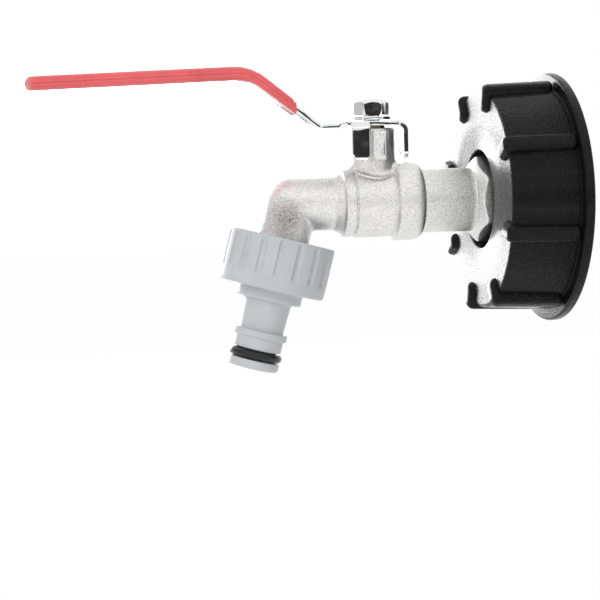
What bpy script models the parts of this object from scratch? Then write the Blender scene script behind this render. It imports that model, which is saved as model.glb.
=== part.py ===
"""Outlet valve for an intermediate bulk container.

A quarter turn ball tap hangs on a ribbed screw cap that closes the tank's outlet.
Its spout bends down into a plastic hose connector.

X runs along the pipe towards the tank, Z is up, and the viewer's side is -Y.
The origin is the centre of the cap's open mouth. The lever lies over the spout,
which is its open position.
"""
import math

import bmesh
import bpy
from mathutils import Matrix, Vector

MM = 0.001

# Fits and cutting
GAP = 0.3 * MM          # clearance between neighbours
CUT = 1.0 * MM          # how far a cutter runs past what it cuts
MERGE = 0.004 * MM      # points closer than this become one
LARGE_STEPS = 60        # faces round a large turned piece
STEPS = 36              # faces round a pipe
SMALL_STEPS = 24        # faces round a small piece
ARC_STEPS = 3           # faces in a quarter round

# Screw cap, which fits a coarse 60 mm tank thread
CAP_DEPTH = 24.2 * MM
CAP_WALL_R = 35.6 * MM          # outside of the wall at the flange
CAP_DRAFT = 1.2 * MM            # what the wall loses towards the face
CAP_FACE_ROUND = 1.0 * MM
CAP_CAVITY_R = 30.0 * MM
CAP_WEB = 4.0 * MM
FLANGE_R = 39.4 * MM
FLANGE_T = 3.0 * MM
FLANGE_EDGE = 0.6 * MM
RECESS_R = 15.5 * MM
RECESS_DEPTH = 6.0 * MM
RECESS_WALL = 3.0 * MM
HUB_WALL = 3.2 * MM
HUB_CLEAR = 4.0 * MM            # from the hub's end to the mouth
RIB_COUNT = 8
RIB_PHASE = math.radians(28.6)
RIB_W = 5.4 * MM
RIB_PROUD = 2.4 * MM            # stands out of the wall at the flange
RIB_LEAN = 1.0 * MM             # what the crown loses towards the face
RIB_ROUND = 2.4 * MM
RIB_EDGE = 1.5 * MM
NUB_LENGTH = 6.0 * MM           # runs in over the face
NUB_RISE = 1.9 * MM
RIB_SINK = 1.5 * MM             # depth of the rib's root in the wall

# Gasket on the inside of the cap's web
GASKET_T = 3.0 * MM
GASKET_MARGIN = 0.5 * MM

# Inlet end: pipe, hexagon and male thread, with its gasket
INLET_TUBE_R = 10.0 * MM
INLET_THREAD_R = 10.48 * MM
INLET_HEX_FLATS = 24.0 * MM
INLET_HEX_T = 7.4 * MM
INLET_HEX_INSET = 3.4 * MM
INLET_HEX_DEEP = 2.4 * MM
INLET_BORE_R = 5.5 * MM
INLET_GASKET_T = 1.1 * MM
INLET_GASKET_R = 13.4 * MM
THREAD_LEAD_IN = 0.8 * MM

# Tap body, measured from the stem's axis along the pipe
STEM_X = -58.8 * MM
CHAMBER_R = 12.2 * MM
CHAMBER_REACH = 14.6 * MM
CHAMBER_EASE_R = 1.6 * MM       # what the easing takes off the end
CHAMBER_EASE_L = 3.6 * MM
CHAMBER_L = 9.3 * MM
CHAMBER_STEP = 1.0 * MM
BODY_R = 10.9 * MM
RING_R = 10.6 * MM
RING_START = 7.2 * MM
RING_L = 3.7 * MM
RING_GROOVE = 0.5 * MM
SPOUT_R = 8.3 * MM
SPOUT_FLARE = 2.4 * MM
SPOUT_BORE_R = 5.2 * MM
ELBOW_REACH = 26.2 * MM
ELBOW_PROUD = 0.12 * MM         # the knuckle swells past the pipe
OUTLET_TILT = math.radians(15.0)
OUTLET_THREAD_R = 13.2 * MM
OUTLET_THREAD_L = 9.6 * MM
OUTLET_SET_IN = 2.0 * MM        # thread's top below the nut's top
OUTLET_DROP = 10.8 * MM         # elbow to the nut's top

# Neck, stem and its seals
NECK_R = 7.1 * MM
NECK_TOP = 23.0 * MM
NECK_EDGE = 0.5 * MM
LUG_W = 4.4 * MM
LUG_REACH = 12.0 * MM
LUG_BOTTOM = 13.0 * MM
LUG_TOP = 22.0 * MM
LUG_EDGE = 0.7 * MM
STEM_R = 4.2 * MM
STEM_FLAT = 3.6 * MM            # axis to the flats that carry the lever
STEM_FLANGE_R = 5.6 * MM
STEM_FLANGE_T = 1.2 * MM
STEM_LIFT = 0.7 * MM            # ball's top to the flange
TANG_T = 3.0 * MM
TANG_W = 7.0 * MM
TANG_L = 3.0 * MM
THRUST_T = 0.7 * MM
SHOULDER_T = 1.8 * MM
PACKING_T = 2.2 * MM
PACKING_EDGE = 0.4 * MM
SEAL_W = 1.4 * MM               # wall of the packing and of the gland nut
GLAND_SLOT_W = 1.6 * MM
GLAND_SLOT_DEPTH = 1.2 * MM

# Ball and its seats
BALL_R = 8.2 * MM
BALL_BORE_R = 4.8 * MM
CAVITY_CLEAR = 0.6 * MM
SEAT_BORE_R = 5.2 * MM
SEAT_BACK = 9.0 * MM            # ball's centre to the back of a seat
SEAT_FRONT = 4.2 * MM           # ball's centre to a seat's near edge, clear of the tang
SEAT_ANGLE = math.radians(50.0)

# Lever, bent from sheet
SHEET = 1.5 * MM
HUB_Z = 23.7 * MM               # underside of the lever at the stem
HUB_HALF_W = 8.6 * MM
HUB_RIGHT = 8.0 * MM
HUB_LEFT = 9.4 * MM
HUB_CORNER = 3.0 * MM
STRAP_HALF_W = 4.5 * MM
STRAP_DROP = 0.6 * MM
STRAP_STEP = 2.2 * MM
RISE_START = 17.2 * MM
RISE_END = 38.6 * MM
GRIP_Z = 40.6 * MM              # middle of the sheet at the upper bend
GRIP_FALL = 2.4 * MM
LEVER_REACH = 106.0 * MM
LEVER_TIP_R = 3.5 * MM
STRAP_BEND_R = 3.0 * MM
GRIP_BEND_R = 14.0 * MM
TAB_W = 6.1 * MM
TAB_OUT = 10.0 * MM             # outer face of the front tab
TAB_BOTTOM = 12.9 * MM
TAB_BEND_R = 1.6 * MM
TAB_CORNER = 1.4 * MM
STOP_OUT = 12.5 * MM            # outer face of the end tab
STOP_W = 5.5 * MM
STOP_BOTTOM = 13.5 * MM

# Dipped sleeve on the lever
SLEEVE_START = 24.7 * MM
SLEEVE_SIDE = 0.7 * MM          # wall at the sides
SLEEVE_WALL = 1.2 * MM          # wall above and below
SLEEVE_ROUND = 1.7 * MM

# Screw and washer that hold the lever
WASHER_R = 6.1 * MM
WASHER_T = 1.2 * MM
WASHER_SPLIT = 0.9 * MM
SCREW_R = 2.7 * MM
SCREW_FLATS = 10.0 * MM
SCREW_HEAD_T = 4.8 * MM
SCREW_HEAD_INSET = 1.3 * MM
SCREW_HEAD_DEEP = 0.7 * MM
SCREW_L = 10.0 * MM

# Hose connector, measured down from the top of its nut
NUT_R = 16.6 * MM
NUT_H = 16.2 * MM
NUT_EDGE = 0.7 * MM
FLUTE_COUNT = 18
FLUTE_STEPS = 8
FLUTE_PHASE_SHARE = 0.07
FLUTE_R = 0.95 * MM
FLUTE_DEPTH = 0.5 * MM
FLUTE_TOP = 0.9 * MM
FLUTE_L = 11.0 * MM
COLLAR_R = 10.2 * MM
COLLAR_L = 3.5 * MM
WAIST_R = 7.1 * MM
WAIST_L = 9.7 * MM
WAIST_FILLET = 1.0 * MM
BAND_R = 8.45 * MM
BAND_L = 2.2 * MM
NOSE_R = 7.6 * MM
NOSE_L = 3.75 * MM
TIP_R = 7.95 * MM
TIP_L = 2.75 * MM
TIP_EDGE = 0.8 * MM
NIPPLE_BORE_R = 4.2 * MM
NIPPLE_EDGE = 0.4 * MM
ORING_R = 8.35 * MM             # outside of the ring
ORING_SECTION = 1.35 * MM
ORING_STEPS = 8
CONNECTOR_WASHER_T = 2.0 * MM
CONNECTOR_WASHER_BORE = 6.0 * MM

# Places that follow from the sizes above
PIPE = Vector((-1, 0, 0))
ACROSS = Vector((0, 1, 0))
UP = Vector((0, 0, 1))
SIDE_VIEW = Matrix.Rotation(math.radians(90), 4, 'X')
END_VIEW = Matrix(((0, 0, 1, 0), (1, 0, 0, 0), (0, 1, 0, 0), (0, 0, 0, 1)))
CAVITY_R = BALL_R + CAVITY_CLEAR
SEAT_R = CAVITY_R - GAP
HUB_BORE_R = INLET_THREAD_R + GAP
HUB_R = HUB_BORE_R + HUB_WALL
CUP_R = RECESS_R + RECESS_WALL
RECESS_X = -(CAP_DEPTH - RECESS_DEPTH)
HEX_FACE_X = RECESS_X - 2 * GAP - INLET_GASKET_T
SEAT_BACK_X = STEM_X + SEAT_BACK
CHAMBER_X = STEM_X + CHAMBER_REACH
ELBOW = Vector((STEM_X - ELBOW_REACH, 0, 0))
OUTLET = Vector((-math.sin(OUTLET_TILT), 0, -math.cos(OUTLET_TILT)))
NUT_TOP = ELBOW + OUTLET * OUTLET_DROP
FLANGE_Z = BALL_R + STEM_LIFT
THRUST_Z = FLANGE_Z + STEM_FLANGE_T + GAP
SHOULDER_Z = THRUST_Z + THRUST_T + GAP
PACKING_Z = SHOULDER_Z + SHOULDER_T + GAP
GLAND_Z = PACKING_Z + 2 * (PACKING_T + GAP)
GLAND_TOP = NECK_TOP - NECK_EDGE
SEAL_IN_R = STEM_R + GAP
SEAL_OUT_R = SEAL_IN_R + SEAL_W
SEAL_BORE_R = SEAL_OUT_R + GAP
POCKET_R = STEM_FLANGE_R + GAP
LEVER_TOP = HUB_Z + SHEET
WASHER_Z = LEVER_TOP + GAP
HEAD_Z = WASHER_Z + WASHER_T + GAP
SCREW_END_Z = HEAD_Z - SCREW_L
ORING_PATH_R = ORING_R - ORING_SECTION
GROOVE_R = ORING_PATH_R - ORING_SECTION - GAP
GROOVE_W = 2 * (ORING_SECTION + GAP)
NUT_CAVITY_R = OUTLET_THREAD_R + GAP
CONNECTOR_FLOOR = OUTLET_SET_IN + OUTLET_THREAD_L + CONNECTOR_WASHER_T + 2 * GAP


def clear_scene():
    """Remove whatever the file holds."""
    for item in list(bpy.data.objects):
        bpy.data.objects.remove(item, do_unlink=True)


def new_collection(name):
    """A collection in the scene."""
    made = bpy.data.collections.new(name)
    bpy.context.scene.collection.children.link(made)
    return made


clear_scene()
PARTS = new_collection("ibc_tank_valve")
CUTTERS = new_collection("cutters")


def material(name, colour, metallic, roughness):
    """One Principled material."""
    made = bpy.data.materials.new(name)
    made.use_nodes = True
    shader = made.node_tree.nodes["Principled BSDF"]
    shader.inputs["Base Color"].default_value = (*colour, 1)
    shader.inputs["Metallic"].default_value = metallic
    shader.inputs["Roughness"].default_value = roughness
    return made


def keep_as_tool(piece):
    """Move a piece to the cutters, shown as wire and never rendered."""
    for home in list(piece.users_collection):
        home.objects.unlink(piece)
    CUTTERS.objects.link(piece)
    piece.hide_render = True
    piece.display_type = 'WIRE'
    return piece


def add_piece(name, mesh, matrix=None):
    """An object among the parts."""
    piece = bpy.data.objects.new(name, mesh)
    PARTS.objects.link(piece)
    if matrix is not None:
        piece.matrix_world = matrix
    return piece


def along(place, direction):
    """Matrix that puts local -Z along a direction in the XZ plane, from a place.

    Local Y stays the world's Y, so a pattern's start is the same on every piece.
    """
    axis = -Vector(direction).normalized()
    side = ACROSS.cross(axis)
    frame = Matrix((side, ACROSS, axis)).transposed().to_4x4()
    return Matrix.Translation(place) @ frame


def corner(middle, radius, start, end):
    """Points of a round corner of an outline, from one angle to another, in degrees."""
    points = []
    for step in range(ARC_STEPS + 1):
        angle = math.radians(start + (end - start) * step / ARC_STEPS)
        points.append((middle[0] + radius * math.cos(angle),
                       middle[1] + radius * math.sin(angle)))
    return points


def turned(name, profile, place, direction, steps=STEPS):
    """Turn a profile of (radius, distance along the direction) pairs into a solid.

    The profile runs down the outside first. One that starts and ends on the axis
    is a full solid, and any other is closed into a ring.
    """
    ring = profile[0][0] > 0
    count = len(profile)
    edges = [(index, index + 1) for index in range(count - 1)]
    if ring:
        edges.append((count - 1, 0))
    mesh = bpy.data.meshes.new(name)
    mesh.from_pydata([(radius, 0, -reach) for radius, reach in profile], edges, [])
    piece = add_piece(name, mesh, along(place, direction))
    screw = piece.modifiers.new("turn", 'SCREW')
    screw.axis = 'Z'
    screw.steps = steps
    screw.render_steps = steps
    screw.use_merge_vertices = True
    screw.merge_threshold = MERGE
    screw.use_smooth_shade = True
    return piece


def extruded(name, outline, width, matrix):
    """A flat outline in local XY, as thick as width, centred on its plane."""
    curve = bpy.data.curves.new(name, 'CURVE')
    curve.dimensions = '2D'
    curve.fill_mode = 'BOTH'
    curve.extrude = width / 2
    spline = curve.splines.new('POLY')
    spline.points.add(len(outline) - 1)
    for point, (across, up) in zip(spline.points, outline):
        point.co = (across, up, 0, 1)
    spline.use_cyclic_u = True
    return as_mesh(add_piece(name, curve, matrix))


def as_mesh(source):
    """Swap a curve object for a welded mesh object in the same place."""
    bpy.context.view_layer.update()
    graph = bpy.context.evaluated_depsgraph_get()
    mesh = bpy.data.meshes.new_from_object(source.evaluated_get(graph))
    work = bmesh.new()
    work.from_mesh(mesh)
    bmesh.ops.remove_doubles(work, verts=work.verts, dist=MERGE)
    bmesh.ops.recalc_face_normals(work, faces=work.faces)
    work.to_mesh(mesh)
    work.free()
    name = source.name
    matrix = source.matrix_world.copy()
    bpy.data.objects.remove(source, do_unlink=True)
    return add_piece(name, mesh, matrix)


def block(name, low, high):
    """A box between two corners."""
    work = bmesh.new()
    bmesh.ops.create_cube(work, size=1)
    for vert in work.verts:
        for axis in range(3):
            middle = (low[axis] + high[axis]) / 2
            vert.co[axis] = middle + vert.co[axis] * (high[axis] - low[axis])
    mesh = bpy.data.meshes.new(name)
    work.to_mesh(mesh)
    work.free()
    return add_piece(name, mesh)


def ball_shape(name, radius, place, steps):
    """A sphere with its poles on local Z."""
    work = bmesh.new()
    bmesh.ops.create_uvsphere(work, u_segments=steps, v_segments=steps // 2, radius=radius)
    mesh = bpy.data.meshes.new(name)
    work.to_mesh(mesh)
    work.free()
    mesh.shade_smooth()
    return add_piece(name, mesh, Matrix.Translation(place))


def rounded(piece, width, segments=2):
    """Round a piece's sharp edges."""
    bevel = piece.modifiers.new("edges", 'BEVEL')
    bevel.width = width
    bevel.segments = segments
    bevel.limit_method = 'ANGLE'
    bevel.angle_limit = math.radians(50)
    return piece


def combine(piece, operation, *tools):
    """Cut, join or intersect a piece with one tool, or with several at once."""
    change = piece.modifiers.new(tools[0].name, 'BOOLEAN')
    change.operation = operation
    change.solver = 'EXACT'
    for tool in tools:
        keep_as_tool(tool)
    if len(tools) == 1:
        change.object = tools[0]
        return piece
    group = bpy.data.collections.new(tools[0].name + "_set")
    CUTTERS.children.link(group)
    for tool in tools:
        CUTTERS.objects.unlink(tool)
        group.objects.link(tool)
    change.operand_type = 'COLLECTION'
    change.collection = group
    return piece


def settle(piece, finish):
    """Apply a piece's modifiers, shade it and give it its material."""
    bpy.context.view_layer.update()
    graph = bpy.context.evaluated_depsgraph_get()
    mesh = bpy.data.meshes.new_from_object(piece.evaluated_get(graph))
    mesh.name = piece.name
    piece.modifiers.clear()
    piece.data = mesh
    mesh.materials.clear()
    mesh.materials.append(finish)
    mesh.shade_smooth()
    mesh.set_sharp_from_angle(angle=math.radians(32))
    return piece


def ring(name, inner, outer, start, end, place, direction, edge=0, steps=SMALL_STEPS):
    """A flat ring, its outer edges broken by edge."""
    profile = [(outer - edge, start), (outer, start + edge), (outer, end - edge),
               (outer - edge, end), (inner, end), (inner, start)]
    if not edge:
        profile = [(outer, start), (outer, end), (inner, end), (inner, start)]
    return turned(name, profile, place, direction, steps)


def hexagon(name, flats, inset, deep, thickness, place, direction):
    """A hexagon prism whose corners are turned off by a cone at the far end.

    The cone takes inset off the corners' radius at the face and runs out at deep.
    """
    radius = flats / math.sqrt(3)
    outline = [(radius * math.cos(math.radians(60 * side)),
                radius * math.sin(math.radians(60 * side))) for side in range(6)]
    matrix = along(place, direction) @ Matrix.Translation((0, 0, -thickness / 2))
    prism = extruded(name, outline, thickness, matrix)
    slope = deep / inset
    cone = turned(name + "_cone", [
        (0, -CUT), (radius + CUT, -CUT), (radius + CUT, thickness - deep - CUT * slope),
        (radius - inset - CUT / slope, thickness + CUT), (0, thickness + CUT)], place, direction)
    return combine(prism, 'INTERSECT', cone)


def rounded_path(points, radii):
    """A path through points, with an arc at each bend."""
    path = [Vector(points[0])]
    for before, here, after, radius in zip(points, points[1:], points[2:], radii):
        here = Vector(here)
        back = (Vector(before) - here).normalized()
        ahead = (Vector(after) - here).normalized()
        half = back.angle(ahead) / 2
        middle = here + (back + ahead).normalized() * radius / math.sin(half)
        start = here + back * radius / math.tan(half) - middle
        sweep = math.pi - 2 * half
        if start.x * back.y - start.y * back.x > 0:
            sweep = -sweep
        for step in range(ARC_STEPS + 1):
            turn = sweep * step / ARC_STEPS
            cosine, sine = math.cos(turn), math.sin(turn)
            path.append(middle + Vector((start.x * cosine - start.y * sine,
                                         start.x * sine + start.y * cosine)))
    path.append(Vector(points[-1]))
    return path


def strip(path, half):
    """Outline of a strip that runs along a path, half its thickness to each side."""
    above, below = [], []
    for index, here in enumerate(path):
        before = path[max(index - 1, 0)]
        after = path[min(index + 1, len(path) - 1)]
        first = (here - before).normalized() if index else (after - here).normalized()
        last = (after - here).normalized() if index < len(path) - 1 else first
        mitre = (first + last).normalized()
        normal = Vector((-mitre.y, mitre.x)) * half / mitre.dot(first)
        above.append(tuple(here + normal))
        below.append(tuple(here - normal))
    return above + below[::-1]


def rib_outline():
    """Side view of one rib: root in the wall, crown outside, nub over the face."""
    root_r = CAP_WALL_R - CAP_DRAFT - RIB_SINK
    crown_r = CAP_WALL_R + RIB_PROUD
    face = -CAP_DEPTH - NUB_RISE
    nub_r = CAP_WALL_R - CAP_DRAFT - NUB_LENGTH
    top_r = crown_r - RIB_LEAN
    outline = [(root_r, -FLANGE_T / 2), (crown_r, -FLANGE_T / 2)]
    outline += corner((top_r - RIB_ROUND, face + RIB_ROUND), RIB_ROUND, 0, -90)
    outline += corner((nub_r + NUB_RISE, face + NUB_RISE), NUB_RISE, -90, -180)
    outline += [(nub_r, RIB_SINK - CAP_DEPTH), (root_r, RIB_SINK - CAP_DEPTH)]
    return outline


def rib(angle):
    """One rib, at an angle round the cap from the viewer's side upwards."""
    outward = Vector((0, -math.cos(angle), math.sin(angle)))
    tangent = Vector((0, math.sin(angle), math.cos(angle)))
    matrix = Matrix((outward, -PIPE, tangent)).transposed().to_4x4()
    return rounded(extruded("rib", rib_outline(), RIB_W, matrix), RIB_EDGE)


def screw_cap(finish):
    """The moulded cap: flange, wall, web, recess and the threaded hub inside it."""
    face_r = CAP_WALL_R - CAP_DRAFT
    recess = CAP_DEPTH - RECESS_DEPTH
    profile = [(FLANGE_R - FLANGE_EDGE, 0), (FLANGE_R, FLANGE_EDGE),
               (FLANGE_R, FLANGE_T - FLANGE_EDGE), (FLANGE_R - FLANGE_EDGE, FLANGE_T),
               (CAP_WALL_R, FLANGE_T)]
    profile += corner((face_r - CAP_FACE_ROUND, CAP_DEPTH - CAP_FACE_ROUND),
                      CAP_FACE_ROUND, 0, 90)
    profile += [(RECESS_R, CAP_DEPTH), (RECESS_R, recess), (HUB_BORE_R, recess),
                (HUB_BORE_R, HUB_CLEAR), (HUB_R, HUB_CLEAR), (HUB_R, recess - HUB_WALL),
                (CUP_R, recess - HUB_WALL), (CUP_R, CAP_DEPTH - CAP_WEB),
                (CAP_CAVITY_R, CAP_DEPTH - CAP_WEB), (CAP_CAVITY_R, 0)]
    cap = turned("screw_cap", profile, (0, 0, 0), PIPE, LARGE_STEPS)
    ribs = [rib(RIB_PHASE + math.tau * index / RIB_COUNT) for index in range(RIB_COUNT)]
    return settle(combine(cap, 'UNION', *ribs), finish)


def cap_gasket(finish):
    """Flat ring that the tank's outlet presses against the web."""
    back = CAP_DEPTH - CAP_WEB - GAP
    return settle(ring("cap_gasket", CUP_R + GASKET_MARGIN, CAP_CAVITY_R - GASKET_MARGIN,
                       back - GASKET_T, back, (0, 0, 0), PIPE, steps=LARGE_STEPS), finish)


def inlet_gasket(finish):
    """Flat ring between the inlet's hexagon and the floor of the cap's recess."""
    place = (RECESS_X - GAP, 0, 0)
    return settle(ring("inlet_gasket", HUB_BORE_R, INLET_GASKET_R, 0, INLET_GASKET_T,
                       place, PIPE), finish)


def inlet_end(finish):
    """Pipe piece with the hexagon: it screws into the cap and into the tap body."""
    nose_x = -HUB_CLEAR
    length = nose_x - SEAT_BACK_X - GAP
    hub_length = nose_x - HEX_FACE_X
    lead = THREAD_LEAD_IN
    outer = [(INLET_THREAD_R - lead, 0), (INLET_THREAD_R, lead),
             (INLET_THREAD_R, hub_length + INLET_HEX_T / 2),
             (INLET_TUBE_R, hub_length + INLET_HEX_T / 2), (INLET_TUBE_R, length - lead / 2),
             (INLET_TUBE_R - lead / 2, length)]
    tube = turned("inlet_end", outer + [(INLET_BORE_R, length), (INLET_BORE_R, 0)],
                  (nose_x, 0, 0), PIPE)
    nut = hexagon("inlet_hexagon", INLET_HEX_FLATS, INLET_HEX_INSET, INLET_HEX_DEEP,
                  INLET_HEX_T, (HEX_FACE_X, 0, 0), PIPE)
    bore = turned("hexagon_bore", [(0, -CUT), (INLET_TUBE_R - lead, -CUT),
                                   (INLET_TUBE_R - lead, INLET_HEX_T + CUT),
                                   (0, INLET_HEX_T + CUT)], (HEX_FACE_X, 0, 0), PIPE)
    combine(nut, 'DIFFERENCE', bore)
    return settle(combine(tube, 'UNION', nut), finish)


def tap_body(finish):
    """Cast body: ball chamber, ringed waist, bent spout, stem neck and stop lug."""
    ring_at = CHAMBER_REACH + RING_START
    spout_at = ring_at + RING_L
    profile = [(0, 0)]
    for across, ahead in corner((0, 0), 1, -90, 0):
        profile.append((CHAMBER_R - CHAMBER_EASE_R * (1 - across), CHAMBER_EASE_L * (1 + ahead)))
    profile += [(CHAMBER_R, CHAMBER_L - CHAMBER_STEP), (BODY_R, CHAMBER_L),
                (BODY_R, ring_at - RING_GROOVE), (RING_R - RING_GROOVE, ring_at),
                (RING_R, ring_at + RING_GROOVE), (RING_R, spout_at - RING_GROOVE),
                (SPOUT_R + SPOUT_FLARE / 2, spout_at), (SPOUT_R, spout_at + SPOUT_FLARE),
                (SPOUT_R, CHAMBER_REACH + ELBOW_REACH), (0, CHAMBER_REACH + ELBOW_REACH)]
    body = turned("tap_body", profile, (CHAMBER_X, 0, 0), PIPE)
    knuckle = ball_shape("knuckle", SPOUT_R + ELBOW_PROUD, ELBOW, STEPS)
    thread_top = OUTLET_DROP + OUTLET_SET_IN
    thread_end = thread_top + OUTLET_THREAD_L
    lead = THREAD_LEAD_IN
    spout = turned("spout", [
        (0, 0), (SPOUT_R, 0), (SPOUT_R, thread_top), (OUTLET_THREAD_R - lead, thread_top),
        (OUTLET_THREAD_R, thread_top + lead), (OUTLET_THREAD_R, thread_end - lead),
        (OUTLET_THREAD_R - lead, thread_end), (0, thread_end)], ELBOW, OUTLET)
    neck = turned("neck", [(0, 0), (NECK_R, 0), (NECK_R, NECK_TOP - NECK_EDGE),
                           (NECK_R - NECK_EDGE, NECK_TOP), (0, NECK_TOP)],
                  (STEM_X, 0, 0), UP)
    lug = rounded(block("stop_lug", (STEM_X - LUG_W / 2, -LUG_REACH, LUG_BOTTOM),
                        (STEM_X + LUG_W / 2, -SEAL_BORE_R - LUG_EDGE / 2, LUG_TOP)), LUG_EDGE)
    combine(body, 'UNION', knuckle, spout, neck, lug)
    chamber_bore = turned("chamber_bore", [
        (0, -CUT), (INLET_TUBE_R + GAP, -CUT),
        (INLET_TUBE_R + GAP, CHAMBER_REACH - SEAT_BACK),
        (CAVITY_R, CHAMBER_REACH - SEAT_BACK), (CAVITY_R, CHAMBER_REACH + SEAT_BACK + GAP),
        (SPOUT_BORE_R, CHAMBER_REACH + SEAT_BACK + GAP),
        (SPOUT_BORE_R, CHAMBER_REACH + ELBOW_REACH), (0, CHAMBER_REACH + ELBOW_REACH)],
        (CHAMBER_X, 0, 0), PIPE)
    knuckle_bore = ball_shape("knuckle_bore", SPOUT_BORE_R + ELBOW_PROUD, ELBOW, SMALL_STEPS)
    spout_bore = turned("spout_bore", [
        (0, 0), (SPOUT_BORE_R, 0), (SPOUT_BORE_R, thread_end + CUT), (0, thread_end + CUT)],
        ELBOW, OUTLET)
    neck_bore = turned("neck_bore", [
        (0, 0), (POCKET_R, 0), (POCKET_R, SHOULDER_Z), (SEAL_IN_R, SHOULDER_Z),
        (SEAL_IN_R, PACKING_Z - GAP), (SEAL_BORE_R, PACKING_Z - GAP),
        (SEAL_BORE_R, NECK_TOP + CUT), (0, NECK_TOP + CUT)], (STEM_X, 0, 0), UP)
    combine(body, 'DIFFERENCE', chamber_bore, knuckle_bore, spout_bore, neck_bore)
    return settle(body, finish)


def ball(finish):
    """Bored ball with the slot that the stem's tang turns it by."""
    centre = (STEM_X, 0, 0)
    piece = ball_shape("ball", BALL_R, centre, SMALL_STEPS)
    bore = turned("ball_bore", [(0, -BALL_R - CUT), (BALL_BORE_R, -BALL_R - CUT),
                                (BALL_BORE_R, BALL_R + CUT), (0, BALL_R + CUT)],
                  centre, PIPE, SMALL_STEPS)
    half = TANG_T / 2 + GAP
    floor = FLANGE_Z - TANG_L - GAP
    slot = block("ball_slot", (STEM_X - half, -BALL_R - CUT, floor),
                 (STEM_X + half, BALL_R + CUT, BALL_R + CUT))
    return settle(combine(piece, 'DIFFERENCE', bore, slot), finish)


def seat_ring(name, direction, finish):
    """Seat ring whose cone follows the ball all round, at the running clearance."""
    sine, cosine = math.sin(SEAT_ANGLE), math.cos(SEAT_ANGLE)
    cone_start = (BALL_R + GAP - SEAT_FRONT * cosine) / sine
    cone_end = (BALL_R + GAP - SEAT_BORE_R * sine) / cosine
    profile = [(SEAT_R, SEAT_FRONT), (SEAT_R, SEAT_BACK), (SEAT_BORE_R, SEAT_BACK),
               (SEAT_BORE_R, cone_end), (cone_start, SEAT_FRONT)]
    return settle(turned(name, profile, (STEM_X, 0, 0), direction), finish)


def stem(finish):
    """Stem: tang in the ball, blow-out flange, shaft, two flats and a tapped hole."""
    top = LEVER_TOP - GAP
    piece = turned("stem", [
        (0, FLANGE_Z), (STEM_FLANGE_R, FLANGE_Z), (STEM_FLANGE_R, FLANGE_Z + STEM_FLANGE_T),
        (STEM_R, FLANGE_Z + STEM_FLANGE_T), (STEM_R, top), (0, top)],
        (STEM_X, 0, 0), UP, SMALL_STEPS)
    tang = block("tang", (STEM_X - TANG_T / 2, -TANG_W / 2, FLANGE_Z - TANG_L),
                 (STEM_X + TANG_T / 2, TANG_W / 2, FLANGE_Z + STEM_FLANGE_T / 2))
    flats = [block("stem_flat", (STEM_X - STEM_R - CUT, low, HUB_Z - GAP),
                   (STEM_X + STEM_R + CUT, high, top + CUT))
             for low, high in ((STEM_FLAT, STEM_R + CUT), (-STEM_R - CUT, -STEM_FLAT))]
    hole = turned("tapped_hole", [
        (0, SCREW_END_Z - CUT), (SCREW_R + GAP, SCREW_END_Z - CUT),
        (SCREW_R + GAP, top + CUT), (0, top + CUT)], (STEM_X, 0, 0), UP, SMALL_STEPS)
    combine(piece, 'UNION', tang)
    return settle(combine(piece, 'DIFFERENCE', *flats, hole), finish)


def stem_thrust_washer(finish):
    """Low friction washer between the stem's flange and the neck's shoulder."""
    return settle(ring("stem_thrust_washer", SEAL_IN_R, STEM_FLANGE_R, THRUST_Z,
                       THRUST_Z + THRUST_T, (STEM_X, 0, 0), UP), finish)


def stem_packing(name, start, finish):
    """One packing ring round the stem."""
    return settle(ring(name, SEAL_IN_R, SEAL_OUT_R, start, start + PACKING_T,
                       (STEM_X, 0, 0), UP, PACKING_EDGE), finish)


def gland_nut(finish):
    """Nut inside the neck that presses the packing down, with a driver slot."""
    nut = ring("gland_nut", SEAL_IN_R, SEAL_OUT_R, GLAND_Z, GLAND_TOP, (STEM_X, 0, 0), UP)
    slot = block("gland_slot", (STEM_X - SEAL_OUT_R - CUT, -GLAND_SLOT_W / 2,
                                GLAND_TOP - GLAND_SLOT_DEPTH),
                 (STEM_X + SEAL_OUT_R + CUT, GLAND_SLOT_W / 2, GLAND_TOP + CUT))
    return settle(combine(nut, 'DIFFERENCE', slot), finish)


def lever_path(reach):
    """Side view of the lever's middle line: hub, low strap, rise and grip."""
    hub = HUB_Z + SHEET / 2
    strap = hub - STRAP_DROP
    return rounded_path([
        (STEM_X + HUB_RIGHT + CUT, hub), (STEM_X - HUB_LEFT, hub),
        (STEM_X - HUB_LEFT - STRAP_STEP, strap), (STEM_X - RISE_START, strap),
        (STEM_X - RISE_END, GRIP_Z), (STEM_X - reach - CUT, GRIP_Z - GRIP_FALL)],
        (STRAP_BEND_R, STRAP_BEND_R, STRAP_BEND_R, GRIP_BEND_R))


def lever_plan(grow):
    """Plan view of the lever, grown all round."""
    right = STEM_X + HUB_RIGHT + grow
    wide = HUB_HALF_W + grow
    narrow = STRAP_HALF_W + grow
    tip = STEM_X - LEVER_REACH - grow
    round_in = HUB_CORNER
    tip_in = LEVER_TIP_R
    outline = corner((right - round_in, -wide + round_in), round_in, -90, 0)
    outline += corner((right - round_in, wide - round_in), round_in, 0, 90)
    outline += [(STEM_X - HUB_LEFT, wide), (STEM_X - RISE_START, narrow)]
    outline += corner((tip + tip_in, narrow - tip_in), tip_in, 90, 180)
    outline += corner((tip + tip_in, tip_in - narrow), tip_in, 180, 270)
    return outline + [(STEM_X - RISE_START, -narrow), (STEM_X - HUB_LEFT, -wide)]


def lever_blank(name, half, grow):
    """Bent strip cut to the lever's plan: half its thickness, and how much wider."""
    width = 2 * (HUB_HALF_W + grow + CUT)
    side = extruded(name, strip(lever_path(LEVER_REACH + grow), half), width, SIDE_VIEW)
    tall = 2 * (GRIP_Z + half + CUT)
    plan = extruded(name + "_plan", lever_plan(grow), tall, Matrix())
    return combine(side, 'INTERSECT', plan)


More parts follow.
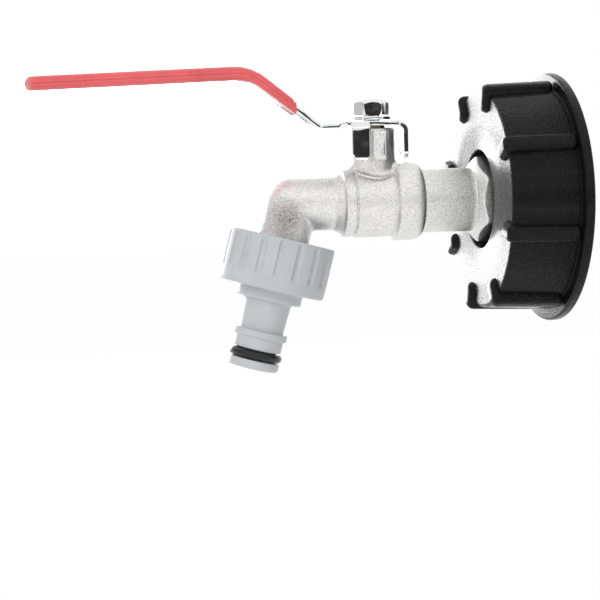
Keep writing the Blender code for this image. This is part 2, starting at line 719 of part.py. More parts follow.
def tab(name, path, width, bottom, strip_view, face_view):
    """A tab folded down from the hub: a bent strip cut to a round cornered face."""
    piece = extruded(name, strip(rounded_path(path, (TAB_BEND_R,)), SHEET / 2),
                     width + 2 * CUT, strip_view)
    top = LEVER_TOP + CUT
    face = [(width / 2, top), (-width / 2, top)]
    face += corner((TAB_CORNER - width / 2, bottom + TAB_CORNER), TAB_CORNER, 180, 270)
    face += corner((width / 2 - TAB_CORNER, bottom + TAB_CORNER), TAB_CORNER, 270, 360)
    tool = extruded(name + "_face", face, 2 * (STOP_OUT + CUT), face_view)
    return combine(piece, 'INTERSECT', tool)


def lever(finish):
    """Sheet lever: hub with its stem hole, strap, and two tabs that meet the stop lug."""
    piece = lever_blank("lever", SHEET / 2, 0)
    middle = HUB_Z + SHEET / 2
    beside = LUG_W / 2 + GAP
    front_x = STEM_X - beside - TAB_W / 2
    front_y = SHEET / 2 - TAB_OUT
    front_root = HUB_CORNER - HUB_HALF_W
    front = tab("front_tab", [(front_root, middle), (front_y, middle), (front_y, TAB_BOTTOM)],
                TAB_W, TAB_BOTTOM, Matrix.Translation((front_x, 0, 0)) @ END_VIEW,
                Matrix.Translation((front_x, 0, 0)) @ SIDE_VIEW)
    stop_y = beside + STOP_W / 2
    stop_x = STEM_X + STOP_OUT - SHEET / 2
    stop_root = STEM_X + HUB_RIGHT - HUB_CORNER
    stop = tab("stop_tab", [(stop_root, middle), (stop_x, middle), (stop_x, STOP_BOTTOM)],
               STOP_W, STOP_BOTTOM, Matrix.Translation((0, stop_y, 0)) @ SIDE_VIEW,
               Matrix.Translation((STEM_X, stop_y, 0)) @ END_VIEW)
    hole = turned("stem_hole", [
        (0, HUB_Z - CUT), (SEAL_IN_R, HUB_Z - CUT), (SEAL_IN_R, LEVER_TOP + CUT),
        (0, LEVER_TOP + CUT)], (STEM_X, 0, 0), UP, SMALL_STEPS)
    flat = STEM_FLAT + GAP
    combine(hole, 'INTERSECT', block("hole_flats", (
        STEM_X - STEM_R - CUT, -flat, HUB_Z - 2 * CUT), (
        STEM_X + STEM_R + CUT, flat, LEVER_TOP + 2 * CUT)))
    combine(piece, 'UNION', front, stop)
    return settle(combine(piece, 'DIFFERENCE', hole), finish)


def lever_sleeve(finish):
    """Dipped sleeve over the grip: open at the hub's end, closed at the tip."""
    grow = GAP + SLEEVE_SIDE
    half = SHEET / 2 + GAP + SLEEVE_WALL
    outer = lever_blank("lever_sleeve", half, grow)
    high = GRIP_Z + half + CUT
    hub_side = block("sleeve_end", (STEM_X - SLEEVE_START, -HUB_HALF_W - grow - 2 * CUT, 0),
                     (STEM_X + HUB_RIGHT + grow + CUT, HUB_HALF_W + grow + 2 * CUT, high))
    combine(outer, 'DIFFERENCE', hub_side)
    rounded(outer, SLEEVE_ROUND, 3)
    pocket = lever_blank("sleeve_pocket", SHEET / 2 + GAP, GAP)
    return settle(combine(outer, 'DIFFERENCE', pocket), finish)


def lock_washer(finish):
    """Split washer under the screw's head."""
    piece = ring("lock_washer", SCREW_R + GAP, WASHER_R, WASHER_Z, WASHER_Z + WASHER_T,
                 (STEM_X, 0, 0), UP)
    split = block("washer_split", (STEM_X, -WASHER_SPLIT / 2, WASHER_Z - CUT),
                  (STEM_X + WASHER_R + CUT, WASHER_SPLIT / 2, WASHER_Z + WASHER_T + CUT))
    return settle(combine(piece, 'DIFFERENCE', split), finish)


def lever_screw(finish):
    """Hexagon screw that holds the lever down on the stem."""
    head = hexagon("lever_screw", SCREW_FLATS, SCREW_HEAD_INSET, SCREW_HEAD_DEEP,
                   SCREW_HEAD_T, (STEM_X, 0, HEAD_Z), UP)
    shank = turned("screw_shank", [
        (0, SCREW_END_Z), (SCREW_R, SCREW_END_Z), (SCREW_R, HEAD_Z + SCREW_HEAD_T / 2),
        (0, HEAD_Z + SCREW_HEAD_T / 2)], (STEM_X, 0, 0), UP, SMALL_STEPS)
    return settle(combine(head, 'UNION', shank), finish)


def flute(angle):
    """Cutter for one grip flute in the nut, round at both ends."""
    out = NUT_R + FLUTE_R - FLUTE_DEPTH
    side = ACROSS.cross(-OUTLET)
    offset = side * out * math.cos(angle) + ACROSS * out * math.sin(angle)
    profile = [(0, 0)] + corner((0, FLUTE_R), FLUTE_R, -45, 0)[::2]
    profile += corner((0, FLUTE_L - FLUTE_R), FLUTE_R, 0, 45)[::2] + [(0, FLUTE_L)]
    place = NUT_TOP + offset + OUTLET * FLUTE_TOP
    return turned("flute", profile, place, OUTLET, FLUTE_STEPS)


def hose_connector(finish):
    """Moulded connector: fluted nut over the outlet, collar, waist and plug nipple."""
    collar_end = NUT_H + COLLAR_L
    band_start = collar_end + WAIST_L
    nose_start = band_start + BAND_L
    groove_start = nose_start + NOSE_L
    tip_start = groove_start + GROOVE_W
    end = tip_start + TIP_L
    edge = NIPPLE_EDGE
    profile = [(NUT_R - NUT_EDGE, 0), (NUT_R, NUT_EDGE), (NUT_R, NUT_H - NUT_EDGE),
               (NUT_R - NUT_EDGE, NUT_H), (COLLAR_R, NUT_H), (COLLAR_R, collar_end - edge),
               (COLLAR_R - edge, collar_end)]
    profile += corner((WAIST_R + WAIST_FILLET, collar_end + WAIST_FILLET),
                      WAIST_FILLET, 270, 180)
    profile += [(WAIST_R, band_start), (BAND_R - edge, band_start), (BAND_R, band_start + edge),
                (BAND_R, nose_start - edge), (BAND_R - edge, nose_start), (NOSE_R, nose_start),
                (NOSE_R, groove_start), (GROOVE_R, groove_start), (GROOVE_R, tip_start),
                (TIP_R, tip_start), (TIP_R, end - TIP_EDGE), (TIP_R - TIP_EDGE, end),
                (NIPPLE_BORE_R, end), (NIPPLE_BORE_R, CONNECTOR_FLOOR),
                (NUT_CAVITY_R, CONNECTOR_FLOOR), (NUT_CAVITY_R, 0)]
    piece = turned("hose_connector", profile, NUT_TOP, OUTLET, 2 * SMALL_STEPS)
    flutes = [flute(math.tau * (index + FLUTE_PHASE_SHARE) / FLUTE_COUNT)
              for index in range(FLUTE_COUNT)]
    return settle(combine(piece, 'DIFFERENCE', *flutes), finish)


def connector_washer(finish):
    """Flat washer between the outlet's end and the floor of the nut."""
    end = CONNECTOR_FLOOR - GAP
    return settle(ring("connector_washer", CONNECTOR_WASHER_BORE, OUTLET_THREAD_R,
                       end - CONNECTOR_WASHER_T, end, NUT_TOP, OUTLET), finish)


def nipple_oring(finish):
    """Ring that seals the plug nipple in a hose coupling."""
    middle = NUT_H + COLLAR_L + WAIST_L + BAND_L + NOSE_L + GROOVE_W / 2
    bpy.ops.mesh.primitive_torus_add(major_radius=ORING_PATH_R, minor_radius=ORING_SECTION,
                                     major_segments=STEPS, minor_segments=ORING_STEPS)
    made = bpy.context.object
    mesh = made.data
    bpy.data.objects.remove(made, do_unlink=True)
    return settle(add_piece("nipple_oring", mesh, along(NUT_TOP + OUTLET * middle, OUTLET)),
                  finish)


def main():
    """Build every piece in its own material."""
    black = material("black_moulding", (0.02, 0.02, 0.022), 0, 0.5)
    rubber = material("seal_rubber", (0.015, 0.015, 0.015), 0, 0.7)
    fibre = material("sealing_fibre", (0.35, 0.36, 0.33), 0, 0.8)
    nickel = material("satin_nickel", (0.62, 0.6, 0.57), 1, 0.38)
    chrome = material("bright_chrome", (0.75, 0.76, 0.77), 1, 0.1)
    brass = material("turned_brass", (0.72, 0.52, 0.22), 1, 0.3)
    seal = material("white_seal", (0.85, 0.85, 0.82), 0, 0.45)
    red = material("red_sleeve", (0.75, 0.06, 0.07), 0, 0.35)
    grey = material("grey_moulding", (0.52, 0.56, 0.6), 0, 0.42)
    screw_cap(black)
    cap_gasket(rubber)
    inlet_gasket(fibre)
    inlet_end(nickel)
    tap_body(nickel)
    ball(chrome)
    seat_ring("seat_ring_inlet", -PIPE, seal)
    seat_ring("seat_ring_outlet", PIPE, seal)
    stem(brass)
    stem_thrust_washer(seal)
    stem_packing("stem_packing_lower", PACKING_Z, seal)
    stem_packing("stem_packing_upper", PACKING_Z + PACKING_T + GAP, seal)
    gland_nut(brass)
    lever(chrome)
    lever_sleeve(red)
    lock_washer(chrome)
    lever_screw(chrome)
    hose_connector(grey)
    connector_washer(rubber)
    nipple_oring(rubber)


main()
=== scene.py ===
import math

import bmesh
import bpy
import numpy as np
from mathutils import Matrix, Vector


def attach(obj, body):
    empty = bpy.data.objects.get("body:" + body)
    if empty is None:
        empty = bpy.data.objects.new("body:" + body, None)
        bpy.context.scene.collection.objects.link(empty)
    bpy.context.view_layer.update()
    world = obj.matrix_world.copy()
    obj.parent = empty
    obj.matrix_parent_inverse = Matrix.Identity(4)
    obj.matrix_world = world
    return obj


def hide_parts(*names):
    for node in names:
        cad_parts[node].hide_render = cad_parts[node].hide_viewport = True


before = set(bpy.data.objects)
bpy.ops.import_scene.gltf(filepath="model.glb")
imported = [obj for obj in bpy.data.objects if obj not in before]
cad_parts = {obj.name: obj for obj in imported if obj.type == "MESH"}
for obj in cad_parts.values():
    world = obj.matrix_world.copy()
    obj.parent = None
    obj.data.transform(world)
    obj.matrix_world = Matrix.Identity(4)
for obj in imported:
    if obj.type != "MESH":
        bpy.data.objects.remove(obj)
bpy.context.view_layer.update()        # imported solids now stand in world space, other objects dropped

mm = 0.001
circle = 2 * math.pi

# Shared places, in millimetres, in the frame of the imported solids
place = {
    "stemX": -58.8, "elbowX": -85.0, "chamberX": -44.2, "outletTilt": math.radians(15),
    "nutDrop": 10.8, "hexFaceX": -19.9, "leverZ": 23.7,
}
pipeWay = np.array([-1.0, 0.0, 0.0])
upWay = np.array([0.0, 0.0, 1.0])
acrossWay = np.array([0.0, 1.0, 0.0])
outletWay = np.array([-math.sin(place["outletTilt"]), 0.0, -math.cos(place["outletTilt"])])
elbowBend = math.pi / 2 - place["outletTilt"]
outletUp = upWay * math.cos(elbowBend) + pipeWay * math.sin(elbowBend)
elbowAt = np.array([place["elbowX"], 0.0, 0.0])
stemAt = np.array([place["stemX"], 0.0, 0.0])
nutTop = elbowAt + outletWay * place["nutDrop"]


# Mesh helpers

# A new object in the scene
def placed(name, data):
    piece = bpy.data.objects.new(name, data)
    bpy.context.scene.collection.objects.link(piece)
    return piece


# Angles round a circle, evenly spaced, the last one short of a full turn
def angles(count):
    return np.arange(count) * circle / count


# Smoothstep from 0 at low to 1 at high
def smooth(low, high, value):
    share = np.clip((value - low) / (high - low), 0, 1)
    return share * share * (3 - 2 * share)


# Outline through (a, b, fillet) points: each corner becomes an arc of its fillet
def filleted(points, steps=5):
    count = len(points)
    rows = [np.array(points[0][:2], float)[None]]
    for index in range(1, count - 1):
        here = np.array(points[index][:2], float)
        fillet = points[index][2]
        back = np.array(points[index - 1][:2], float) - here
        ahead = np.array(points[index + 1][:2], float) - here
        back /= np.linalg.norm(back)
        ahead /= np.linalg.norm(ahead)
        half = math.acos(max(-1, min(1, float(back @ ahead)))) / 2
        if fillet <= 0 or half > 1.56:
            rows.append(here[None])
            continue
        middle = here + (back + ahead) / np.linalg.norm(back + ahead) * fillet / math.sin(half)
        start = here + back * fillet / math.tan(half) - middle
        end = here + ahead * fillet / math.tan(half) - middle
        sweep = np.linspace(0, 1, steps + 1)[:, None] * (math.pi - 2 * half)
        swing = end - start * math.cos(math.pi - 2 * half)
        swing *= fillet / np.linalg.norm(swing)
        rows.append(middle + start * np.cos(sweep) + swing * np.sin(sweep))
    rows.append(np.array(points[-1][:2], float)[None])
    return np.concatenate(rows)


# The same outline with no stretch longer than step
def finer(outline, step):
    rows = []
    for first, last in zip(outline[:-1], outline[1:]):
        parts = max(1, int(math.ceil(np.linalg.norm(last - first) / step)))
        rows.append(first + (last - first) * (np.arange(parts) / parts)[:, None])
    rows.append(outline[-1:])
    return np.concatenate(rows)


# Mesh of a grid of points in millimetres, each row a closed ring; rows that shrink to a point
# are welded
def gridMesh(name, grid, wrapRows=False, sharp=34):
    rows, columns = grid.shape[:2]
    index = np.arange(rows * columns).reshape(rows, columns)
    lower = index if wrapRows else index[:-1]
    upper = np.roll(index, -1, axis=0) if wrapRows else index[1:]
    quads = np.stack([lower, np.roll(lower, -1, 1), np.roll(upper, -1, 1), upper], -1)
    quads = quads.reshape(-1, 4)
    points = grid.reshape(-1, 3) * mm
    corners = points[quads]
    volume = (np.einsum("ij,ij->i", corners[:, 0], np.cross(corners[:, 1], corners[:, 2]))
              + np.einsum("ij,ij->i", corners[:, 0], np.cross(corners[:, 2], corners[:, 3])))
    if volume.sum() < 0:
        quads = quads[:, ::-1]
    mesh = bpy.data.meshes.new(name)
    mesh.from_pydata(points.tolist(), [], quads.tolist())
    weld(mesh)
    shadeMesh(mesh, sharp)
    return placed(name, mesh)


# Merge points that lie together, which closes seams and poles
def weld(mesh, reach=1e-7):
    work = bmesh.new()
    work.from_mesh(mesh)
    bmesh.ops.remove_doubles(work, verts=work.verts, dist=reach)
    bmesh.ops.dissolve_degenerate(work, edges=work.edges, dist=reach)
    work.to_mesh(mesh)
    work.free()


# Smooth shading with edges sharper than an angle, in degrees, kept crisp
def shadeMesh(mesh, sharp):
    mesh.shade_smooth()
    mesh.set_sharp_from_angle(angle=math.radians(sharp))


# Grid of rings of (radius, distance) about a line; a radius may vary by angle
def rings(rows, start, way, outward, turn):
    radius = np.stack([np.broadcast_to(np.asarray(row[0], float), turn.shape) for row in rows])
    reach = np.array([row[1] for row in rows], float)
    ringWay = outward * np.cos(turn)[:, None] + acrossWay * np.sin(turn)[:, None]
    return start + way * reach[:, None, None] + radius[..., None] * ringWay[None]


# Surface turned about a way from a place
def turned(name, rows, at, way, count, wrapRows=True, sharp=34):
    grid = rings(rows, at, way, np.cross(acrossWay, -way), angles(count))
    return gridMesh(name, grid, wrapRows, sharp)


# How far a quarter round has drawn an edge in, with some length left to the end
def roundOff(radius, left):
    return radius - np.sqrt(np.clip(radius ** 2 - np.clip(radius - left, 0, radius) ** 2, 0, None))


# Closed outline of a flat ring's section, begun in the middle of its low side
def ringSection(inner, outer, low, high, outerRound, innerRound, steps):
    middle = ((inner + outer) / 2, low, 0)
    return filleted([middle, (outer, low, outerRound), (outer, high, outerRound),
                     (inner, high, innerRound), (inner, low, innerRound), middle], steps)[:-1]


# The lesser of some radii and a limit, eased where they cross
def softLeast(radii, limit, crisp):
    return -np.log(np.exp(-crisp * radii) + np.exp(-crisp * limit)) / crisp


# How deep a V thread cuts at a reach, by angle
def threadCut(reach, turn, pitch, depth):
    return np.abs((reach / pitch - turn / circle) % 1.0 * 2 - 1) * depth


# Apply joins and cuts, given as (operation, tool) pairs, and drop the tools
def shaped(piece, *changes, sharp=34):
    for operation, tool in changes:
        step = piece.modifiers.new(tool.name, "BOOLEAN")
        step.operation = operation
        step.solver = "EXACT"
        step.object = tool
    bpy.context.view_layer.update()
    graph = bpy.context.evaluated_depsgraph_get()
    mesh = bpy.data.meshes.new_from_object(piece.evaluated_get(graph))
    mesh.name = piece.name
    piece.modifiers.clear()
    piece.data = mesh
    for operation, tool in changes:
        bpy.data.objects.remove(tool, do_unlink=True)
    weld(mesh)
    shadeMesh(mesh, sharp)
    return piece


# A box between two corners in millimetres, its edges rounded
def boxPiece(name, low, high, edge, steps):
    low, high = Vector(low) * mm, Vector(high) * mm
    spread = Matrix.LocRotScale((low + high) / 2, None, high - low)
    work = bmesh.new()
    bmesh.ops.create_cube(work, size=1, matrix=spread)
    bmesh.ops.bevel(work, geom=work.edges, offset=edge * mm, segments=steps, profile=0.5,
                    affect="EDGES")
    mesh = bpy.data.meshes.new(name)
    work.to_mesh(mesh)
    work.free()
    return placed(name, mesh)


# Give a new piece its finish, tie it to its body and hide the solid that it stands for
def keep(piece, body, node, finish):
    piece.data.materials.clear()
    piece.data.materials.append(finish)
    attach(piece, body)
    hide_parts(node)
    return piece


# Shader helpers

# A node's output; each operator adds a Math node to its graph
class Wire:
    def __init__(self, graph, socket):
        self.graph = graph
        self.socket = socket

    def combine(self, operation, first, second):
        return self.graph.add("ShaderNodeMath", {"operation": operation}, {0: first, 1: second})

    def __add__(self, other):
        return self.combine("ADD", self, other)

    def __sub__(self, other):
        return self.combine("SUBTRACT", self, other)

    def __rsub__(self, other):
        return self.combine("SUBTRACT", other, self)

    def __mul__(self, other):
        return self.combine("MULTIPLY", self, other)

    __radd__ = __add__
    __rmul__ = __mul__


# The nodes of a material or of the world
class Graph:
    def __init__(self, tree, end):
        self.tree = tree
        self.end = tree.nodes[end]

    # A node of a kind: settings first, then values or wires for its inputs
    def add(self, kind, settings, inputs, output=0):
        node = self.tree.nodes.new(kind)
        for label, value in settings.items():
            setattr(node, label, value)
        for label, value in inputs.items():
            if isinstance(value, Wire):
                self.tree.links.new(value.socket, node.inputs[label])
            else:
                node.inputs[label].default_value = value
        return Wire(self, node.outputs[output])

    # 1 for rays from the camera, off a gloss or through glass, else 0
    def seenDirectly(self):
        seen = self.add("ShaderNodeLightPath", {}, {}, "Is Camera Ray")
        for ray in ("Is Glossy Ray", "Is Transmission Ray"):
            other = self.add("ShaderNodeLightPath", {}, {}, ray)
            seen = self.add("ShaderNodeMath", {"operation": "MAXIMUM"}, {0: seen, 1: other})
        return seen

    # Let a shader's wire be what is seen
    def show(self, wire):
        self.tree.links.new(wire.socket, self.end.inputs["Surface"])


# One Principled material and the nodes that vary it
class Finish(Graph):
    def __init__(self, name, **constants):
        self.material = bpy.data.materials.new(name)
        self.material.use_nodes = True
        super().__init__(self.material.node_tree, "Material Output")
        self.shader = self.tree.nodes["Principled BSDF"]
        for label, value in constants.items():
            self.inlet(label).default_value = value
        self.coords = self.add("ShaderNodeTexCoord", {}, {}, "Object")

    # The shader's input of a name written in lower case
    def inlet(self, label):
        return self.shader.inputs[label.replace("_", " ").title().replace("Ior", "IOR")]

    # Noise whose features are about size millimetres wide
    def noise(self, size, detail=2.0, rough=0.5, stretch=None):
        where = self.coords
        if stretch:
            where = self.add("ShaderNodeMapping", {}, {"Vector": where, "Scale": stretch})
        return self.add("ShaderNodeTexNoise", {"noise_dimensions": "3D"},
                        {"Vector": where, "Scale": 1 / (size * mm), "Detail": detail,
                         "Roughness": rough}, "Fac")

    # Smooth cell distance for cells about size millimetres wide
    def cells(self, size):
        return self.add("ShaderNodeTexVoronoi", {"feature": "SMOOTH_F1"},
                        {"Vector": self.coords, "Scale": 1 / (size * mm)}, "Distance")

    # Place along X on the piece, in metres
    def alongX(self):
        return self.add("ShaderNodeSeparateXYZ", {}, {0: self.coords}, "X")

    # A wire's range from low to high, spread over first to last and clamped
    def between(self, wire, low=0.3, high=0.7, first=0.0, last=1.0):
        return self.add("ShaderNodeMapRange", {"clamp": True},
                        {"Value": wire, "From Min": low, "From Max": high,
                         "To Min": first, "To Max": last}, "Result")

    # Colour between two, by a wire
    def blend(self, wire, first, second):
        first, second = (end if isinstance(end, Wire) else (*end, 1) for end in (first, second))
        return self.add("ShaderNodeMix", {"data_type": "RGBA"}, {0: wire, 6: first, 7: second}, 2)

    # Bump of a height wire, depth in millimetres, over another normal if given
    def bump(self, height, depth, strength, under=None):
        inputs = {"Height": height, "Distance": depth * mm, "Strength": strength}
        if under:
            inputs["Normal"] = under
        return self.add("ShaderNodeBump", {}, inputs, "Normal")

    # Link wires to the shader's inputs by name
    def feed(self, **wires):
        for label, wire in wires.items():
            self.tree.links.new(wire.socket, self.inlet(label))
        return self.material


# Finishes

nickelLook = {
    "base": (0.70, 0.69, 0.675, 1), "rough": 0.32, "grain": 0.42, "pits": 0.798, "cloud": 9.0,
    "depth": 0.2, "speckFrom": 0.39, "speckTo": 0.55, "speckShare": 0.75,
    "dark": (0.58, 0.575, 0.57), "pale": (0.97, 0.965, 0.955),
    # The last five keys darken the elbow's front: a painted dark reflection, not a stain
    "paintedShadeAt": (-0.0885, -0.0105, -0.0045), "paintedShadeFrom": 0.002, "paintedShadeTo": 0.0085,
    "paintedShadeDark": (0.10, 0.099, 0.097), "paintedShadePale": (0.50, 0.49, 0.48),
}


# Nickel over a blasted casting: fine specks, soft clouds, a painted dark reflection on the elbow's
# front
def nickelFinish(name="satinNickel", look=nickelLook):
    finish = Finish(name, base_color=look["base"], metallic=1.0, roughness=look["rough"])
    grain = finish.noise(look["grain"], 3.0, 0.7)
    pits = finish.noise(look["pits"])
    cloud = finish.noise(look["cloud"], 3.0, 0.55)
    tone = finish.between(cloud * 0.55 + pits * 0.45)
    speck = finish.between(grain, look["speckFrom"], look["speckTo"])
    shade = speck * look["speckShare"] + tone * (1 - look["speckShare"])
    # Painted dark reflection: the colour turns darker near a point on the elbow's front
    away = finish.add("ShaderNodeVectorMath", {"operation": "DISTANCE"},
                      {0: finish.coords, 1: look["paintedShadeAt"]}, "Value")
    colour = finish.blend(finish.between(away, look["paintedShadeFrom"], look["paintedShadeTo"]),
                          finish.blend(speck, look["paintedShadeDark"], look["paintedShadePale"]),
                          finish.blend(shade, look["dark"], look["pale"]))
    rough = finish.between(grain * 0.6 + cloud * 0.4, 0.32, 0.68, 0.27, 0.40)
    normal = finish.bump(grain * 0.7 + pits * 0.3, look["depth"], 0.9)
    return finish.feed(base_color=colour, roughness=rough, normal=normal)


chromeLook = {
    "base": (0.82, 0.825, 0.83, 1), "rough": 0.07, "ripple": 6.0, "rippleDepth": 0.55,
    "line": 0.5, "lineStretch": (1.0, 0.12, 1.0), "lineDepth": 0.004, "haze": 3.0,
    "clear": 0.05, "dull": 0.13,
}


# Bright chrome on pressed steel: a slow ripple, fine polish lines, faint haze
def chromeFinish(name="brightChrome", look=chromeLook):
    finish = Finish(name, base_color=look["base"], metallic=1.0, roughness=look["rough"])
    ripple = finish.noise(look["ripple"], 0.0)
    lines = finish.noise(look["line"], stretch=look["lineStretch"])
    haze = finish.noise(look["haze"], 3.0, 0.6)
    rough = finish.between(haze, 0.35, 0.75, look["clear"], look["dull"])
    normal = finish.bump(ripple, look["rippleDepth"], 0.6,
                         finish.bump(lines, look["lineDepth"], 0.6))
    return finish.feed(roughness=rough, normal=normal)


pebbleLook = {
    "base": (0.007, 0.007, 0.008), "cell": 0.8, "ridge": 1.2, "cloud": 14.0, "depth": 0.5,
    "dark": (0.004, 0.004, 0.005), "pale": (0.010, 0.010, 0.011),
    "faceFrom": -0.0243, "faceTo": -0.0236, "faceShare": 0.1, "rimX": -0.003,
}


# Black moulding from a spark textured mould: worm-like pebbles and dull hollows, the relief
# much flatter on the cap's face and on its flange
def pebbleFinish(name="pebbledBlack", look=pebbleLook):
    finish = Finish(name, base_color=(*look["base"], 1), roughness=0.3, ior=1.5,
                    specular_ior_level=0.1, coat_weight=0.8, coat_roughness=0.16,
                    coat_ior=1.15)
    pebbles = finish.noise(look["cell"], 2.5, 0.55)
    ridges = finish.cells(look["ridge"])
    height = finish.between(pebbles, 0.35, 0.68) * 0.7 + finish.between(ridges, 0.0, 0.6) * 0.3
    cloud = finish.noise(look["cloud"])
    rough = finish.between(height * 0.6 + cloud * 0.4, first=0.34, last=0.24)
    colour = finish.blend(height, look["dark"], look["pale"])
    along = finish.alongX()
    pastRim = along - look["rimX"]
    face = finish.between(along, look["faceFrom"], look["faceTo"], look["faceShare"])
    rim = finish.between(pastRim * pastRim, 4e-8, 4e-7, look["faceShare"])
    normal = finish.bump(height * face * rim, look["depth"], 0.9)
    return finish.feed(base_color=colour, roughness=rough, normal=normal)


# Skin noise gives the relief and part of the roughness, slow noise shades the colour; over
# may lay something on that colour
def mottledFinish(name, look, over=None):
    finish = Finish(name, base_color=(*look["base"], 1), **look["set"])
    skin = finish.noise(*look["skin"])
    slow = finish.noise(*look["slow"])
    colour = finish.blend(finish.between(slow, look["slowFrom"]), look["dark"], look["pale"])
    if over:
        colour = over(finish, colour)
    mixed = skin
    if look["slowShare"]:
        mixed = skin * (1 - look["slowShare"]) + slow * look["slowShare"]
    rough = finish.between(mixed, 0.3, 0.7, *look["rough"])
    normal = finish.bump(skin, *look["bump"])
    return finish.feed(base_color=colour, roughness=rough, normal=normal)


greyLook = {
    "base": (0.56, 0.575, 0.59), "set": {"roughness": 0.4, "ior": 1.47}, "skin": (0.4,),
    "slow": (6.0,), "slowFrom": 0.3, "dark": (0.54, 0.56, 0.575), "pale": (0.58, 0.60, 0.615),
    "slowShare": 0.5, "rough": (0.34, 0.46), "bump": (0.008, 0.7),
}

redLook = {
    "base": (0.70, 0.055, 0.06), "skin": (1.6,), "slow": (11.0,), "slowFrom": 0.3,
    "set": {"roughness": 0.3, "specular_ior_level": 0.35, "coat_weight": 1.0,
            "coat_roughness": 0.07, "coat_ior": 1.5},
    "dark": (0.74, 0.075, 0.08), "pale": (0.82, 0.10, 0.105), "slowShare": 0.5,
    "rough": (0.22, 0.34), "bump": (0.03, 0.6),
    "tipFrom": -0.1650, "tipTo": -0.1632, "tipShare": 0.55, "tip": (0.62, 0.42, 0.42),
}

brassLook = {
    "base": (0.76, 0.56, 0.27), "set": {"metallic": 1.0, "roughness": 0.28},
    "skin": (0.25, 2.0, 0.5, (0.15, 0.15, 1.0)), "slow": (3.0, 3.0, 0.6), "slowFrom": 0.3,
    "dark": (0.40, 0.33, 0.22), "pale": (0.56, 0.47, 0.32), "slowShare": 0.0,
    "rough": (0.22, 0.38), "bump": (0.01, 0.6),
}


# The red sleeve's pale worn tip over its colour
def wornTip(finish, colour):
    tip = finish.between(finish.alongX(), redLook["tipFrom"], redLook["tipTo"], 1.0, 0.0)
    return finish.blend(tip * redLook["tipShare"], colour, redLook["tip"])


# Sealing rubber or fibre with a dull mottled skin
def rubberFinish(name, base, rough):
    pale = tuple(min(1.0, value * 1.6 + 0.002) for value in base)
    return mottledFinish(name, {
        "base": base, "set": {"roughness": rough}, "skin": (0.5, 3.0, 0.6), "slow": (5.0,),
        "slowFrom": 0.35, "dark": base, "pale": pale, "slowShare": 0.0,
        "rough": (rough - 0.08, rough + 0.08), "bump": (0.02, 0.7)})


nickel = nickelFinish()
chrome = chromeFinish()
pebble = pebbleFinish()
grey = mottledFinish("coolGrey", greyLook)
redVinyl = mottledFinish("dippedRed", redLook, wornTip)
blackRubber = rubberFinish("blackRubber", (0.004, 0.004, 0.005), 0.2)
capRubber = rubberFinish("capRubber", (0.022, 0.022, 0.022), 0.62)
greyFibre = rubberFinish("greyFibre", (0.30, 0.31, 0.28), 0.75)
whiteSeal = rubberFinish("whiteSeal", (0.80, 0.80, 0.77), 0.4)
brass = mottledFinish("turnedBrass", brassLook)
print("stage: finishes")


# Screw cap

cap = {
    "depth": 24.2, "wallR": 35.6, "faceR": 34.4, "round": 1.1, "flangeR": 39.4, "flangeT": 3.0,
    "cavityR": 30.0, "web": 4.0, "recessR": 15.5, "recessDepth": 6.0, "cupR": 18.5,
    "hubWall": 3.2, "boreR": 10.78, "hubR": 13.98, "hubClear": 4.0,
    "ribs": 8, "phase": math.radians(28.6), "ribHalf": 2.7, "ribProud": 2.3, "lean": 0.9,
    "nubR": 28.5, "nubRise": 1.85, "ribRound": 2.2, "soft": 3.0,
    "pitch": 6.0, "ridge": 2.4, "threadTo": 15.6,
    "ribColumns": 40, "bareColumns": 10, "ribSpan": math.radians(5.8),
    "nubInset": 0.8, "step": 0.42, "outlineCount": 110, "cornerShare": 0.66, "threadRows": 80,
}


